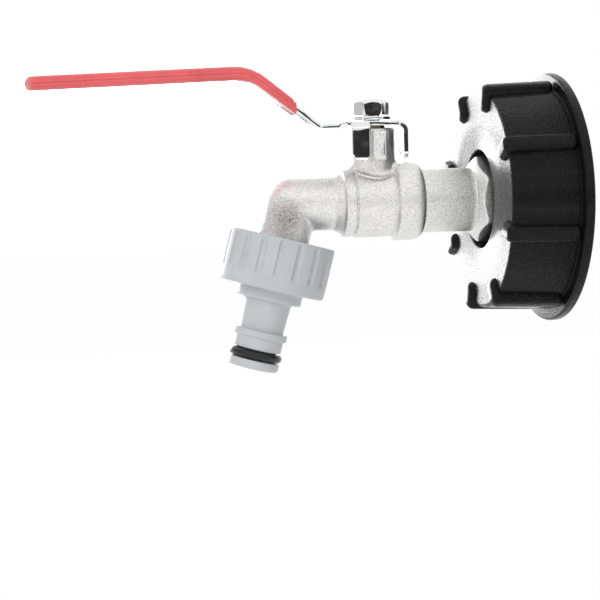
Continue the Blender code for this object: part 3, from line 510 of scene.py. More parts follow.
# Cap: its outline is carried round the axis; near a rib it swells to the rib's outline by a
# rounded share of the distance to the rib's middle, and inside it carries a coarse buttress
# ridge that climbs one pitch a turn
def capSurface():
    depth, face = cap["depth"], cap["faceR"]
    recess = depth - cap["recessDepth"]
    top = depth + cap["nubRise"]
    crown = cap["wallR"] + cap["ribProud"]
    nubEdge, step = cap["nubR"] - cap["nubInset"], cap["step"]
    base = finer(filleted([
        (cap["wallR"], cap["flangeT"] + 0.35, 0), (face, depth, cap["round"]),
        (nubEdge, depth, 0)], 6), step)
    rib = finer(filleted([
        (crown, cap["flangeT"] + 0.35, 0), (crown - cap["lean"], top, cap["ribRound"]),
        (nubEdge, top, 0)], 6), step)
    # Both outlines get the same number of points, matched at the face's corner
    count = cap["outlineCount"]
    corner = int(count * cap["cornerShare"])

    def even(outline):
        length = np.concatenate([[0], np.cumsum(np.linalg.norm(np.diff(outline, axis=0), axis=1))])
        bend = int(np.argmax(outline[:, 0] + outline[:, 1]))
        wanted = np.concatenate([np.linspace(0, length[bend], corner),
                                 np.linspace(length[bend], length[-1], count - corner + 1)[1:]])
        return np.stack([np.interp(wanted, length, outline[:, axis]) for axis in (0, 1)], 1)

    base, rib = even(base), even(rib)
    flange = filleted([(cap["cavityR"] + 0.5, 0, 0), (cap["flangeR"], 0, 0.7),
                       (cap["flangeR"], cap["flangeT"], 0.8),
                       (cap["wallR"], cap["flangeT"], 0.35),
                       (cap["wallR"], cap["flangeT"] + 0.7, 0)], 5)[1:-1]
    inner = filleted([
        (nubEdge, depth, 0), (cap["recessR"], depth, 0.5),
        (cap["recessR"], recess, 0.4), (cap["boreR"] + 0.7, recess, 0.1),
        (cap["boreR"], recess - 0.7, 0.1), (cap["boreR"], cap["hubClear"], 0.3),
        (cap["hubR"], cap["hubClear"], 0.5), (cap["hubR"], recess - cap["hubWall"], 0.8),
        (cap["cupR"], recess - cap["hubWall"], 0.8), (cap["cupR"], depth - cap["web"], 0.6),
        (cap["cavityR"], depth - cap["web"], 0.6), (cap["cavityR"], cap["threadTo"], 0)], 3)[1:]
    along = np.linspace(cap["threadTo"], 0.5, cap["threadRows"])
    thread = np.stack([np.full(len(along), cap["cavityR"]), along], 1)
    rim = np.array([[cap["cavityR"] + 0.4, 0.05]])
    outline = np.concatenate([flange, base, inner, thread, rim])
    swollen = np.concatenate([flange, rib, inner, thread, rim])
    ridged = np.zeros(len(outline))
    ridged[len(flange) + len(base) + len(inner):-1] = 1
    sector = circle / cap["ribs"]
    near = np.linspace(-cap["ribSpan"], cap["ribSpan"], cap["ribColumns"])
    far = np.linspace(cap["ribSpan"], sector - cap["ribSpan"], cap["bareColumns"] + 2)[1:-1]
    offsets = np.concatenate([near, far])
    turn = (cap["phase"] + sector * np.arange(cap["ribs"])[:, None] + offsets[None]).ravel()
    away = np.tile(np.concatenate([near, np.full(len(far), sector / 2)]), cap["ribs"])
    radius, reach = swollen[:, 0:1], swollen[:, 1:2]
    aside = radius * np.sin(away)[None]
    inward = np.clip(cap["nubR"] + cap["ribHalf"] - radius, 0, None)
    foot = np.clip(cap["flangeT"] + 1.9 - reach, 0, None) * 1.5
    share = np.sqrt(aside ** 2 + inward ** 2 + foot ** 2) / cap["ribHalf"]
    power = cap["soft"]
    swell = np.clip(1 - np.clip(share, 0, 1) ** power, 0, 1) ** (1 / power)
    grown = outline[:, None, :] + (swollen - outline)[:, None, :] * swell[..., None]
    climb = (grown[..., 1] / cap["pitch"] - turn[None] / circle) % 1.0
    tooth = smooth(0.08, 0.2, climb) * (1 - smooth(0.40, 0.70, climb))
    fade = smooth(0.6, 3.2, grown[..., 1]) * (1 - smooth(13.2, cap["threadTo"], grown[..., 1]))
    grown[..., 0] -= cap["ridge"] * tooth * fade * ridged[:, None]
    radial = np.stack([np.zeros_like(turn), -np.cos(turn), np.sin(turn)], -1)
    grid = (np.array([-1.0, 0, 0]) * grown[..., 1:2] + radial[None] * grown[..., 0:1])
    return gridMesh("capShell", grid, True, 40)


keep(capSurface(), "root", "screw_cap", pebble)

capSeal = {"inner": 19.0, "outer": 29.5, "thick": 3.0, "back": 19.9, "round": 0.6}


# Gasket in the cap: a flat ring with rounded edges, carried round the axis
def capSealRing():
    rows = ringSection(capSeal["inner"], capSeal["outer"], capSeal["back"] - capSeal["thick"],
                       capSeal["back"], capSeal["round"], capSeal["round"], 5)
    return turned("capSeal", rows, np.zeros(3), pipeWay, 128)


keep(capSealRing(), "root", "cap_gasket", capRubber)
print("stage: cap")


# Inlet end: pipe, hexagon and male thread

inlet = {
    "nose": -4.0, "threadR": 10.48, "pitch": 1.814, "threadDepth": 1.1, "tubeR": 10.0,
    "flats": 24.0, "hexT": 7.4, "inset": 3.4, "deep": 2.6, "boreR": 5.5, "end": -49.5,
    "seamAt": math.radians(126), "seamRise": 0.13, "seamWide": 0.22,
    "crisp": 6, "count": 180,
}


# Radius of a hexagon by angle, its corners eased by a power mean of its flats
def hexRadius(turn, flats, soft=26):
    total = sum(np.abs(np.cos(turn - side * math.pi / 3)) ** soft for side in range(3))
    return flats / 2 / total ** (1 / soft)


# Inlet end: its outline is turned about the pipe; over the hexagon the radius is the lesser
# of the hexagon's and a cone's, which leaves the scalloped chamfer
def inletSurface():
    count = inlet["count"]
    turn = angles(count)
    nose, threadR, tubeR, boreR, deep = (
        inlet[key] for key in ("nose", "threadR", "tubeR", "boreR", "deep"))
    at = np.array([nose, 0.0, 0.0])
    hexStart = nose - place["hexFaceX"]
    hexEnd = hexStart + inlet["hexT"]
    length = nose - inlet["end"]
    hexR = hexRadius(turn + math.pi / 6, inlet["flats"])
    corner = inlet["flats"] / math.sqrt(3)
    rows = [(boreR + 0.4, 0.0), (threadR - 1.2, 0.0)]
    for reach in np.linspace(0.7, hexStart - 1.0, 44):
        cut = threadCut(reach, turn, inlet["pitch"], inlet["threadDepth"])
        rows.append((threadR - cut, reach))
    rootR = threadR - inlet["threadDepth"]
    rows += [(rootR, hexStart - 0.4), (rootR, hexStart),
             (np.minimum(hexR, corner - 0.9) - 0.15, hexStart),
             (np.minimum(hexR, corner - 0.5), hexStart + 0.25), (hexR, hexStart + 0.8)]
    slope = inlet["inset"] / deep
    for reach in np.linspace(hexEnd - deep - 0.5, hexEnd, 16):
        cone = corner - (reach - hexEnd + deep) * slope
        rows.append((softLeast(hexR, cone, inlet["crisp"]), reach))
    seam = inlet["seamRise"] * sum(
        np.exp(-(((turn - spot + math.pi) % circle - math.pi) * tubeR
                 / inlet["seamWide"]) ** 2) for spot in (inlet["seamAt"], -inlet["seamAt"]))
    rows += [(tubeR + 0.5, hexEnd + 0.02), (tubeR + 0.15 + seam, hexEnd + 0.2)]
    rows += [(tubeR + seam * (reach < length - 4.9), reach)
             for reach in np.linspace(hexEnd + 0.6, length - 4.8, 14)]
    rows += [(tubeR, length - 4.6), (tubeR, length - 0.5), (tubeR - 0.5, length),
             (boreR + 0.3, length), (boreR, length - 0.3), (boreR, 0.4)]
    return turned("inletEnd", rows, at, pipeWay, count, sharp=40)


keep(inletSurface(), "root", "inlet_end", nickel)
print("stage: inlet")


# Tap body

tap = {
    "chamberR": 12.2, "easeR": 1.6, "easeL": 3.6, "bodyR": 10.9, "ringR": 10.6,
    "spoutR": 8.3, "boreR": 5.2, "boreTurn": 5.6,
    # Outline past the ease: which radius, its offset, the distance and the fillet
    "line": [("chamberR", 0, 8.3, 1.0), ("bodyR", -0.28, 9.25, 0.35), ("bodyR", 0, 9.9, 0.8),
             ("bodyR", 0, 21.25, 0.35), ("ringR", -0.42, 21.7, 0.18), ("ringR", 0.1, 22.15, 0.35),
             ("ringR", 0, 25.0, 0.5), ("ringR", -0.75, 25.35, 0.2), ("ringR", -1.1, 25.6, 0.5),
             ("spoutR", 0.05, 27.9, 1.6), ("spoutR", 0, 32.3, 0)],
    "cavityR": 8.8, "counterR": 10.3, "seatBack": 9.0, "threadR": 13.2, "threadTop": 12.8,
    "threadEnd": 22.4, "threadCut": 1.1, "pitch": 1.814, "crease": 0.22,
    "neckR": 7.1, "neckTop": 23.0, "neckFoot": 1.9, "neckRoot": 9.6, "neckBoreR": 6.2, "pocketR": 5.9,
    "shaftR": 4.5, "shoulder": (11.4, 13.2), "count": 120,
    # Blocks beside the neck: half width, depth, height, edge and the edge's steps
    "blocks": [("stopLug", 2.2, (-11.6, -6.5), (13.0, 22.0), 0.75, 4),
               ("lugPad", 1.7, (-12.0, -9.0), (14.0, 19.4), 1.2, 5)],
}


# Outline of the cast body from its inlet end to just before the elbow, as (radius, distance
# from the chamber's end)
def bodyOutline():
    bend = np.linspace(0, math.pi / 2, 9)
    ease = np.stack([tap["chamberR"] - tap["easeR"] * (1 - np.sin(bend)),
                     tap["easeL"] * (1 - np.cos(bend))], 1)
    rest = filleted([(*ease[-1], 0)] + [(tap[key] + offset, at, fillet)
                                        for key, offset, at, fillet in tap["line"]], 5)
    return np.concatenate([ease[:-1], rest])


# Rows of the elbow: the outer half swings about the elbow's centre, which makes a ball-shaped
# corner, and the inner half turns a tight fillet in the crease
def elbowRows(radius, turn, steps=26):
    offset = radius * np.cos(turn)
    fillet = np.where(offset >= 0, offset, -offset * tap["crease"])
    middle = (offset - fillet)[:, None] * (upWay + outletUp) / (1 + float(upWay @ outletUp))
    swing = np.linspace(0, elbowBend, steps)[:, None, None]
    arm = upWay * np.cos(swing) + pipeWay * np.sin(swing)
    return (elbowAt + middle[None] + fillet[None, :, None] * arm
            + (radius * np.sin(turn))[None, :, None] * acrossWay)


# Body casting: outline turned about the pipe, elbow, outlet with its thread, then back inside
# through the bore, the ball's chamber and the counterbore
def castingSurface():
    turn = angles(tap["count"])
    chamberAt = np.array([place["chamberX"], 0.0, 0.0])
    outer = rings(finer(bodyOutline(), 1.2), chamberAt, pipeWay, upWay, turn)
    top, end, spoutR, boreR, threadR, seatBack, counterR = (tap[key] for key in (
        "threadTop", "threadEnd", "spoutR", "boreR", "threadR", "seatBack", "counterR"))
    outlet = [(spoutR, 8.6), (spoutR, top - 0.6), (spoutR + 0.6, top), (threadR - 1.2, top),
              (threadR - tap["threadCut"], top + 0.5)]
    for reach in np.linspace(top + 0.8, end - 0.6, 30):
        cut = threadCut(reach, turn, tap["pitch"], tap["threadCut"])
        outlet.append((threadR - cut, reach))
    outlet += [(threadR - 1.3, end), (boreR + 0.6, end), (boreR, end - 0.6),
               (boreR, tap["boreTurn"])]
    outside = rings(outlet, elbowAt, outletWay, outletUp, turn)
    length = place["chamberX"] - place["elbowX"]
    centre = place["chamberX"] - place["stemX"]
    inside = filleted([
        (boreR, length - tap["boreTurn"], 0), (boreR, centre + seatBack + 0.3, 0.4),
        (tap["cavityR"], centre + seatBack + 0.3, 0.2), (tap["cavityR"], centre - seatBack, 0.2),
        (counterR, centre - seatBack, 0.1), (counterR, 2.0, 0.4), (counterR + 0.25, 0.9, 0)], 3)
    bore = rings(finer(inside, 2.0), chamberAt, pipeWay, upWay, turn)
    grid = np.concatenate([outer, elbowRows(spoutR, turn), outside,
                           elbowRows(boreR, turn)[::-1], bore])
    return gridMesh("tapBody", grid, True, 40)


# Stem neck: a turned post whose foot flares in a quarter round where it meets the body, by
# the height above the body's own surface
def neckSurface():
    turn = angles(tap["count"])
    outline = bodyOutline()
    bodyX = place["chamberX"] - outline[:, 1]
    neckR, neckTop = tap["neckR"], tap["neckTop"]
    footX = place["stemX"] + (neckR + 0.8) * np.cos(turn)
    bodyR = np.interp(-footX, -bodyX, outline[:, 0])
    aside = (neckR + 0.5) * np.sin(turn)
    skin = np.sqrt(np.clip(bodyR ** 2 - aside ** 2, 1, None))
    foot = tap["neckFoot"]
    rows = []
    for share in np.concatenate([[-0.35], np.linspace(0.0, 1.0, 12)]):
        rows.append((neckR + roundOff(foot, max(foot * share, 0)) * 0.9, skin + foot * share))
    for share in np.linspace(0.12, 1.0, 9):
        rows.append((neckR, (skin + foot) * (1 - share) + (neckTop - 0.7) * share))
    rows += [(neckR - 0.2, neckTop - 0.2), (neckR - 0.7, neckTop)]
    radius, height = (np.stack([np.broadcast_to(np.asarray(row[part], float), turn.shape)
                                for row in rows]) for part in (0, 1))
    ring = np.stack([radius * np.cos(turn), radius * np.sin(turn), height], -1) + stemAt
    floor, roof = (np.broadcast_to(stemAt + upWay * height, (1, len(turn), 3))
                   for height in (tap["neckRoot"], neckTop))
    return gridMesh("neckPost", np.concatenate([floor, ring, roof]))


# Casting, neck and stop lug joined, then the stem's stepped bore cut down the neck
def tapBody():
    low, high = tap["shoulder"]
    bore = turned("neckBore", [(0, 0), (tap["pocketR"], 0), (tap["pocketR"], low),
                               (tap["shaftR"], low), (tap["shaftR"], high),
                               (tap["neckBoreR"], high), (tap["neckBoreR"], 24.5), (0, 24.5)],
                  stemAt, upWay, 64, wrapRows=False)
    x = place["stemX"]
    blocks = [
        ("UNION", boxPiece(name, (x - half, y[0], z[0]), (x + half, y[1], z[1]), edge, steps))
        for name, half, y, z, edge, steps in tap["blocks"]]
    return shaped(castingSurface(), ("UNION", neckSurface()), *blocks, ("DIFFERENCE", bore),
                  sharp=38)


keep(tapBody(), "root", "tap_body", nickel)
print("stage: tap body")


# Lever

lever = {
    "half": 0.75, "edge": 0.3, "hubRight": 8.0, "hubHalf": 8.6, "hubLeft": 9.4,
    "hubCorner": 3.0, "strapHalf": 4.5, "drop": 0.6, "step": 2.2, "riseStart": 17.2,
    "riseEnd": 38.6, "gripZ": 40.6, "fall": 2.4, "reach": 106.0, "tipR": 3.5, "bend": 3.0,
    "gripBend": 14.0, "tabWide": 6.1, "tabOut": 10.0, "tabBottom": 12.9, "stopOut": 12.5,
    "stopWide": 5.5, "stopBottom": 13.5, "beside": 2.5, "tabBend": 1.7, "stopBend": 2.2,
    "tabEdge": 0.7, "tabCorner": 2.1, "tabRoot": 5.0, "holeR": 4.5,
}


# Middle line of the lever in side view, as (x, z), bends rounded, finely divided
def leverLine(reach, start=None):
    x, mid = place["stemX"], place["leverZ"] + lever["half"]
    low = mid - lever["drop"]
    points = [(x + lever["hubRight"], mid, 0), (x - lever["hubLeft"], mid, lever["bend"]),
              (x - lever["hubLeft"] - lever["step"], low, lever["bend"]),
              (x - lever["riseStart"], low, lever["bend"]),
              (x - lever["riseEnd"], lever["gripZ"], lever["gripBend"]),
              (x - reach, lever["gripZ"] - lever["fall"], 0)]
    line = finer(filleted(points, 8), 1.6)
    if start is not None:
        line = line[line[:, 0] < start]
    return line


# Rows of a flat bar along a line in a plane: each row is a rectangle with quarter round
# corners, its half width and half height given for each row or for all
def ribbonRows(line, width, half, edge, cross, count=6):
    way = np.gradient(line, axis=0)
    way /= np.linalg.norm(way, axis=1)[:, None]
    normal = np.stack([-way[:, 1], way[:, 0]], 1)
    quarter = np.repeat(np.arange(4), count)
    turn = np.tile(np.linspace(0, math.pi / 2, count), 4) + quarter * math.pi / 2
    width, half, edge = (np.broadcast_to(np.asarray(value, float), (len(line),))[:, None]
                         for value in (width, half, edge))
    wide = np.cos(turn) * edge + np.array([1, -1, -1, 1])[quarter] * (width - edge)
    tall = np.sin(turn) * edge + np.array([1, 1, -1, -1])[quarter] * (half - edge)
    plane = line[:, None, :] + normal[:, None, :] * tall[..., None]
    return cross(plane, wide)


# A row shrunk to the middle of another, to close an end
def capRow(rows, index):
    return np.broadcast_to(rows[index].mean(axis=0), rows[:1].shape)


# Rows with both ends closed
def closedEnds(rows):
    return np.concatenate([capRow(rows, 0), rows, capRow(rows, -1)])


# Plane (x, z) and width along Y
def sideView(plane, wide):
    return np.stack([plane[..., 0], np.broadcast_to(wide, plane[..., 0].shape),
                     plane[..., 1]], -1)


# Plane (y, z) and width along X, about a place along X
def endView(at):
    def cross(plane, wide):
        return np.stack([at + np.broadcast_to(wide, plane[..., 0].shape), plane[..., 0],
                         plane[..., 1]], -1)

    return cross


# Mesh of ribbon rows with both ends closed flat
def closedRibbon(name, rows):
    return gridMesh(name, closedEnds(rows), False, 38)


# Folded tab: a flat bar along a bent path, its lower corners rounded in width
def tabPiece(name, path, wide, bottom, cross, edge):
    line = finer(filleted(path, 8), 0.6)
    left = line[:, 1] - bottom
    folded = np.arange(len(line)) > len(line) // 2
    width = wide / 2 - roundOff(lever["tabCorner"], left) * folded
    return closedRibbon(name, ribbonRows(line, width, lever["half"], edge, cross, 8))


# Lever: a bar carried along its bent line with the plan's half width, plus two tabs
def leverPiece():
    line = leverLine(lever["reach"])
    x = place["stemX"]
    fromRight = (x + lever["hubRight"]) - line[:, 0]
    toTip = line[:, 0] - (x - lever["reach"])
    taper = np.interp(line[:, 0], [x - lever["riseStart"], x - lever["hubLeft"]],
                      [lever["strapHalf"], lever["hubHalf"]])
    width = taper - roundOff(lever["hubCorner"], fromRight) - roundOff(lever["tipR"], toTip)
    blade = closedRibbon("leverBar",
                         ribbonRows(line, width, lever["half"], lever["edge"], sideView))
    mid = place["leverZ"] + lever["half"]
    frontX = x - lever["beside"] - lever["tabWide"] / 2
    frontY = lever["half"] - lever["tabOut"]
    front = tabPiece("frontTab", [(-lever["tabRoot"], mid, 0), (frontY, mid, lever["tabBend"]),
                                  (frontY, lever["tabBottom"], 0)],
                     lever["tabWide"], lever["tabBottom"], endView(frontX), lever["tabEdge"])
    stopY = lever["beside"] + lever["stopWide"] / 2
    stopX = x + lever["stopOut"] - lever["half"]

    def stopView(plane, wide):
        return sideView(plane, wide) + np.array([0, stopY, 0])

    stop = tabPiece("stopTab", [(x + lever["tabRoot"], mid, 0), (stopX, mid, lever["stopBend"]),
                                (stopX, lever["stopBottom"], 0)],
                    lever["stopWide"], lever["stopBottom"], stopView, lever["edge"] / 2)
    hole = turned("stemHole", [(0, 20), (lever["holeR"], 20), (lever["holeR"], 28), (0, 28)],
                  stemAt, upWay, 48, False)
    return shaped(blade, ("UNION", front), ("UNION", stop), ("DIFFERENCE", hole), sharp=38)


keep(leverPiece(), "lever", "lever", chrome)

sleeve = {"start": 24.7, "halves": ((-165.0, 2.22), (-120.0, 2.2), (-101.0, 2.15), (-93.0, 1.75),
                                     (-82.0, 1.6)),
          "wide": 5.45, "round": 0.94, "tip": 0.9, "tipR": 4.4, "tipEase": 1.9, "crowd": 6.0,
          "pocketHalf": 1.05, "pocketWide": 4.8, "pocketTip": 3.6}


# Dipped sleeve: a soft edged bar along the lever's line, closed at the tip, cut upright at
# the hub's end, with the lever's pocket inside
def sleevePiece():
    x = place["stemX"]
    end = x - sleeve["start"]
    outerLine = leverLine(lever["reach"] + sleeve["tip"], end + 1.2)
    innerLine = leverLine(lever["reach"] + 0.3, end + 1.2)

    def widths(line, wide, tipR):
        return wide - roundOff(tipR, line[:, 0] - line[:, 0].min())

    # The line with extra rows crowded at its tip
    def withTip(line):
        tip = line[-1]
        back = line[-2] - tip
        back /= np.linalg.norm(back)
        body = line[np.linalg.norm(line - tip, axis=1) > sleeve["crowd"]]
        crowd = sleeve["crowd"] * (1 - np.sin(np.linspace(0, math.pi / 2, 12)))
        return np.concatenate([body, tip + back * crowd[:, None]])

    outerLine, innerLine = withTip(outerLine), withTip(innerLine)
    half = np.interp(outerLine[:, 0], *zip(*sleeve["halves"]))
    outer = ribbonRows(outerLine, widths(outerLine, sleeve["wide"], sleeve["tipR"]),
                       half, half * sleeve["round"], sideView, 9)
    inner = ribbonRows(innerLine, widths(innerLine, sleeve["pocketWide"], sleeve["pocketTip"]),
                       sleeve["pocketHalf"], 0.3, sideView, 9)
    # Soften the closed tip: the last rows lose height towards the end
    toTip = outerLine[:, 0] - outerLine[:, 0].min()
    ease = np.sqrt(np.clip(1 - np.clip(1 - toTip / sleeve["tipEase"], 0, 1) ** 2, 0.02, 1))
    outer[..., 2] = outerLine[:, None, 1] + (outer[..., 2] - outerLine[:, None, 1]) * ease[:, None]
    for rows, line in ((outer, outerLine), (inner, innerLine)):
        slope = (line[1, 1] - line[0, 1]) / (line[1, 0] - line[0, 0])
        shift = end - rows[0, :, 0]
        rows[0, :, 0] = end
        rows[0, :, 2] += shift * slope
        early = rows[1:6, :, 0] > end - 0.3
        rows[1:6, :, 0] = np.where(early, end - 0.3, rows[1:6, :, 0])
    grid = np.concatenate([capRow(outer, -1), outer[::-1], inner, capRow(inner, -1)])
    return gridMesh("leverSleeve", grid, False, 50)


keep(sleevePiece(), "lever", "lever_sleeve", redVinyl)
print("stage: lever")


# Screw and washer

screw = {"headZ": 27.0, "headT": 4.8, "flats": 10.0, "shankR": 2.7, "endZ": 17.0,
         "turn": math.radians(-6), "crisp": 9, "dome": 1.5, "domeIn": 1.75}


# Hexagon screw: the head's radius is the lesser of the hexagon's and a domed cone's
def screwPiece():
    count = 144
    turn = angles(count)
    hexR = hexRadius(turn + math.pi / 6 + screw["turn"], screw["flats"], 34)
    corner = screw["flats"] / math.sqrt(3)
    low, tall, shankR, endZ = (screw[key] for key in ("headZ", "headT", "shankR", "endZ"))
    rows = [(0, endZ), (shankR - 0.5, endZ), (shankR, endZ + 0.5), (shankR, low),
            (screw["flats"] / 2 - 0.3, low), (np.minimum(hexR, corner - 0.25), low + 0.15),
            (hexR, low + 0.55)]
    for share in np.linspace(0, 1, 14):
        reach = low + tall - screw["dome"] + screw["dome"] * share
        cone = corner + 0.15 - screw["domeIn"] * share ** 2.0
        rows.append((softLeast(hexR, cone, screw["crisp"]), reach))
    rows += [(screw["flats"] / 2 - 1.3, low + tall - 0.02), (0, low + tall)]
    return turned("leverScrew", rows, stemAt, upWay, count, wrapRows=False, sharp=40)


keep(screwPiece(), "lever", "lever_screw", chrome)

washer = {"low": 25.5, "thick": 1.2, "inner": 3.0, "outer": 6.1, "gap": 0.45,
          "outerRound": 0.25, "innerRound": 0.2}


# Split washer: its section swept almost all the way round
def washerPiece():
    gap = washer["gap"] / washer["outer"]
    turn = np.linspace(gap, circle - gap, 90)
    section = ringSection(washer["inner"], washer["outer"], washer["low"],
                          washer["low"] + washer["thick"], washer["outerRound"],
                          washer["innerRound"], 3)
    radius = section[None, :, 0]
    grid = np.stack([place["stemX"] + radius * np.cos(turn)[:, None],
                     radius * np.sin(turn)[:, None],
                     np.broadcast_to(section[None, :, 1], (len(turn), len(section)))], -1)
    return gridMesh("splitWasher", closedEnds(grid))


keep(washerPiece(), "lever", "lock_washer", chrome)
print("stage: screw")


# Hose connector

hose = {
    "nutR": 16.6, "nutH": 16.2, "flutes": 18, "fluteHalf": 1.1, "fluteDeep": 0.8,
    "fluteFrom": 0.9, "fluteTo": 11.9, "phase": 0.07, "boreR": 4.2, "cavityR": 13.5,
    "floor": 14.2,
    # Below the nut: radius at the top and at the foot, length, fillet at the top and foot
    "steps": {"collar": (10.2, 10.2, 3.5, 0.5, 0.7), "waist": (7.35, 6.9, 9.7, 1.2, 0.35),
              "band": (8.45, 8.45, 2.2, 0.4, 0.4), "nose": (7.6, 7.6, 3.75, 0.3, 0.3),
              "groove": (5.35, 5.35, 3.3, 0.3, 0.3), "tip": (7.95, 7.95, 2.75, 0.3, 1.0)},
}


# Connector: its outline turned about the outlet, the nut's skin drawn in by a round hollow at
# each flute, which runs out in a half round at its lower end
def connectorPiece():
    count = hose["flutes"] * 24
    turn = angles(count)
    nutR, reach, boreR, cavityR, floor = (
        hose[key] for key in ("nutR", "nutH", "boreR", "cavityR", "floor"))
    points = [(cavityR, 0.5, 0), (cavityR + 0.5, 0, 0.2), (nutR, 0, 0.7), (nutR, reach, 0.9)]
    for top, foot, length, topFillet, footFillet in hose["steps"].values():
        points += [(top, reach, topFillet), (foot, reach + length, footFillet)]
        reach += length
    points += [(boreR, reach, 0.3), (boreR, floor, 0.3), (cavityR, floor, 0.3),
               (cavityR, 0.5, 0)]
    outline = finer(filleted(points, 5)[:-1], 1.1)
    sector = circle / hose["flutes"]
    away = ((turn / sector - hose["phase"] + 0.5) % 1.0 - 0.5) * sector * nutR
    rows = []
    for radius, reach in outline:
        onSkin = radius > nutR - 0.75 and reach < hose["nutH"] - 1
        if not onSkin:
            rows.append((radius, reach))
            continue
        past = max(0.0, hose["fluteFrom"] + 0.8 - reach, reach - hose["fluteTo"] + 1.0)
        share = np.sqrt(away ** 2 + past ** 2) / hose["fluteHalf"]
        hollow = hose["fluteDeep"] * np.clip(1 - share ** 4, 0, 1) ** 0.7
        rows.append((radius - hollow, reach))
    return turned("hoseConnector", rows, nutTop, outletWay, count, sharp=44)


keep(connectorPiece(), "root", "hose_connector", grey)

oring = {"pathR": 7.0, "section": 1.35, "reach": 37.0}


# Nipple ring: a round section turned about the outlet
def ringPiece():
    turn = angles(24)
    rows = np.stack([oring["pathR"] + oring["section"] * np.cos(turn),
                     oring["reach"] + oring["section"] * np.sin(turn)], 1)
    return turned("nippleRing", rows, nutTop, outletWay, 96)


keep(ringPiece(), "root", "nipple_oring", blackRubber)
print("stage: connector")


# Finishes on the solids that stay

stays = {
    "inlet_gasket": greyFibre, "ball": chrome, "seat_ring_inlet": whiteSeal,
    "seat_ring_outlet": whiteSeal, "stem": brass, "stem_thrust_washer": whiteSeal,
    "stem_packing_lower": whiteSeal, "stem_packing_upper": whiteSeal, "gland_nut": brass,
    "connector_washer": blackRubber,
}
for node, finish in stays.items():
    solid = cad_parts[node]
    solid.data.materials.clear()
    solid.data.materials.append(finish)


# Camera: the photograph's place, worked out from its outline points

view = {"focal": 1677.6, "azimuth": 0.192, "elevation": 0.081, "roll": 0.024,
        "right": 80.556, "down": -32.995, "back": 537.4, "frame": 600}


# Camera whose axes are turned by azimuth, elevation and roll about the object
def placeCamera():
    az, el, roll = view["azimuth"], view["elevation"], view["roll"]
    forward = np.array([math.sin(az) * math.cos(el), math.cos(az) * math.cos(el), -math.sin(el)])
    up0 = np.array([math.sin(az) * math.sin(el), math.cos(az) * math.sin(el), math.cos(el)])
    right0 = np.array([math.cos(az), -math.sin(az), 0.0])
    right = right0 * math.cos(roll) - up0 * math.sin(roll)
    up = right0 * math.sin(roll) + up0 * math.cos(roll)
    at = (-view["right"] * right + view["down"] * up - view["back"] * forward) * mm
    data = bpy.data.cameras.new("photoView")
    data.sensor_width = 36
    data.lens = 36 * view["focal"] / view["frame"]
    data.clip_start = 0.01
    data.clip_end = 20
    camera = placed("photoView", data)
    matrix = np.eye(4)
    matrix[:3, :3] = np.stack([right, up, -forward], 1)
    matrix[:3, 3] = at
    camera.matrix_world = Matrix(matrix.tolist())
    bpy.context.scene.camera = camera


placeCamera()
print("stage: camera")


# Studio: pale floor, soft light, white surroundings

studio = {
    "floorZ": -0.17, "floorWide": 6.0, "floorTone": (0.9, 0.9, 0.9, 1), "floorRough": 0.9,
    "sky": 0.5, "white": 1.0, "lift": 0.985, "aim": (-0.07, 0, 0),
    # Cards: place, width and height, Euler angles in degrees, shade
    "cards": {
        "frontCard": ((-0.16, -0.85, 0.02), (2.2, 0.17), (90, 0, 0), 0.03),
        "leftCard": ((-1.3, 0.25, 0.2), (1.4, 0.6), (90, 0, 90), 0.62),
        "tabCard": ((-0.076, 0.15, 0.006), (0.014, 0.034), (90, 0, 0), 0.3),
    },
    # Lights: place, width and height, power, whether a gloss shows them
    "lights": {
        "keyLight": ((-0.6, -0.6, 0.4), (0.4, 0.4), 2.4, False),
        "topLight": ((0.0, 0.1, 0.8), (0.7, 0.5), 2.0, False),
        "backLight": ((-0.24, 1.1, 0.02), (1.0, 0.9), 15.0, True),
        "upperStrip": ((-0.1, -0.62, 0.3), (0.9, 0.02), 0.16, True),
        "lowerStrip": ((-0.1, -0.62, -0.12), (0.9, 0.03), 0.24, True),
    },
}


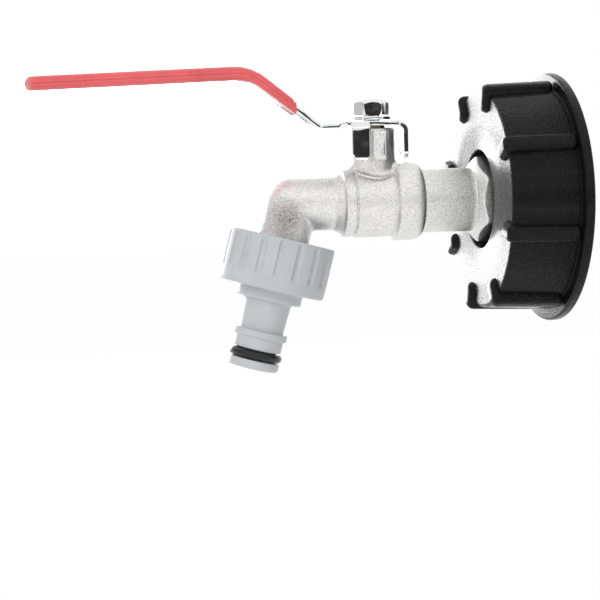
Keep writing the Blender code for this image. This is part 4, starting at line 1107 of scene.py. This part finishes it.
# World: an even pale light, and plain white wherever the camera or a gloss sees it
def surroundings():
    world = bpy.data.worlds.new("studio")
    world.use_nodes = True
    bpy.context.scene.world = world
    graph = Graph(world.node_tree, "World Output")
    sky, white = (graph.add("ShaderNodeBackground", {},
                            {"Color": (1, 1, 1, 1), "Strength": studio[key]})
                  for key in ("sky", "white"))
    graph.show(graph.add("ShaderNodeMixShader", {},
                         {0: graph.seenDirectly(), 1: sky, 2: white}))


# A flat stage panel, centred on a place and turned by Euler angles in degrees
def flatPanel(name, at, size, turn):
    mesh = bpy.data.meshes.new(name)
    wide, tall = size[0] / 2, size[1] / 2
    mesh.from_pydata([(-wide, -tall, 0), (wide, -tall, 0), (wide, tall, 0), (-wide, tall, 0)],
                     [], [(0, 1, 2, 3)])
    panel = placed(name, mesh)
    panel.location = at
    panel.rotation_euler = [math.radians(value) for value in turn]
    return panel


# Pale floor that looks white to the camera and keeps a soft shadow
def floorPiece():
    wide = studio["floorWide"]
    floor = flatPanel("floor", (0, 0, studio["floorZ"]), (wide, wide), (0, 0, 0))
    finish = Finish("floor", base_color=studio["floorTone"], roughness=studio["floorRough"],
                    specular_ior_level=0.0)
    plain = Wire(finish, finish.shader.outputs[0])
    glow = finish.add("ShaderNodeEmission", {}, {"Strength": 1.0})
    lift = finish.seenDirectly() * studio["lift"]
    finish.show(finish.add("ShaderNodeMixShader", {}, {0: lift, 1: plain, 2: glow}))
    floor.data.materials.append(finish.material)


# A dark or grey card that only reflections see, like a flag beside a product
def reflectedCard(name, at, size, turn, shade):
    card = flatPanel(name, at, size, turn)
    finish = Finish(name)
    finish.show(finish.add("ShaderNodeEmission", {}, {"Color": (shade, shade, shade, 1)}))
    card.data.materials.append(finish.material)
    for rays in ("camera", "diffuse", "shadow", "transmission"):
        setattr(card, "visible_" + rays, False)


# A rectangular soft light turned to the object, shown by a gloss or not
def softLight(name, at, size, power, glossy):
    data = bpy.data.lights.new(name, "AREA")
    data.shape = "RECTANGLE"
    data.size, data.size_y = size
    data.energy = power
    light = placed(name, data)
    light.location = at
    aim = Vector(studio["aim"]) - Vector(at)
    light.rotation_euler = aim.to_track_quat("-Z", "Y").to_euler()
    light.visible_camera = False
    light.visible_glossy = glossy


surroundings()
floorPiece()
for name, values in studio["cards"].items():
    reflectedCard(name, *values)
for name, values in studio["lights"].items():
    softLight(name, *values)

bpy.context.scene.view_settings.view_transform = "Standard"
print("stage: studio")
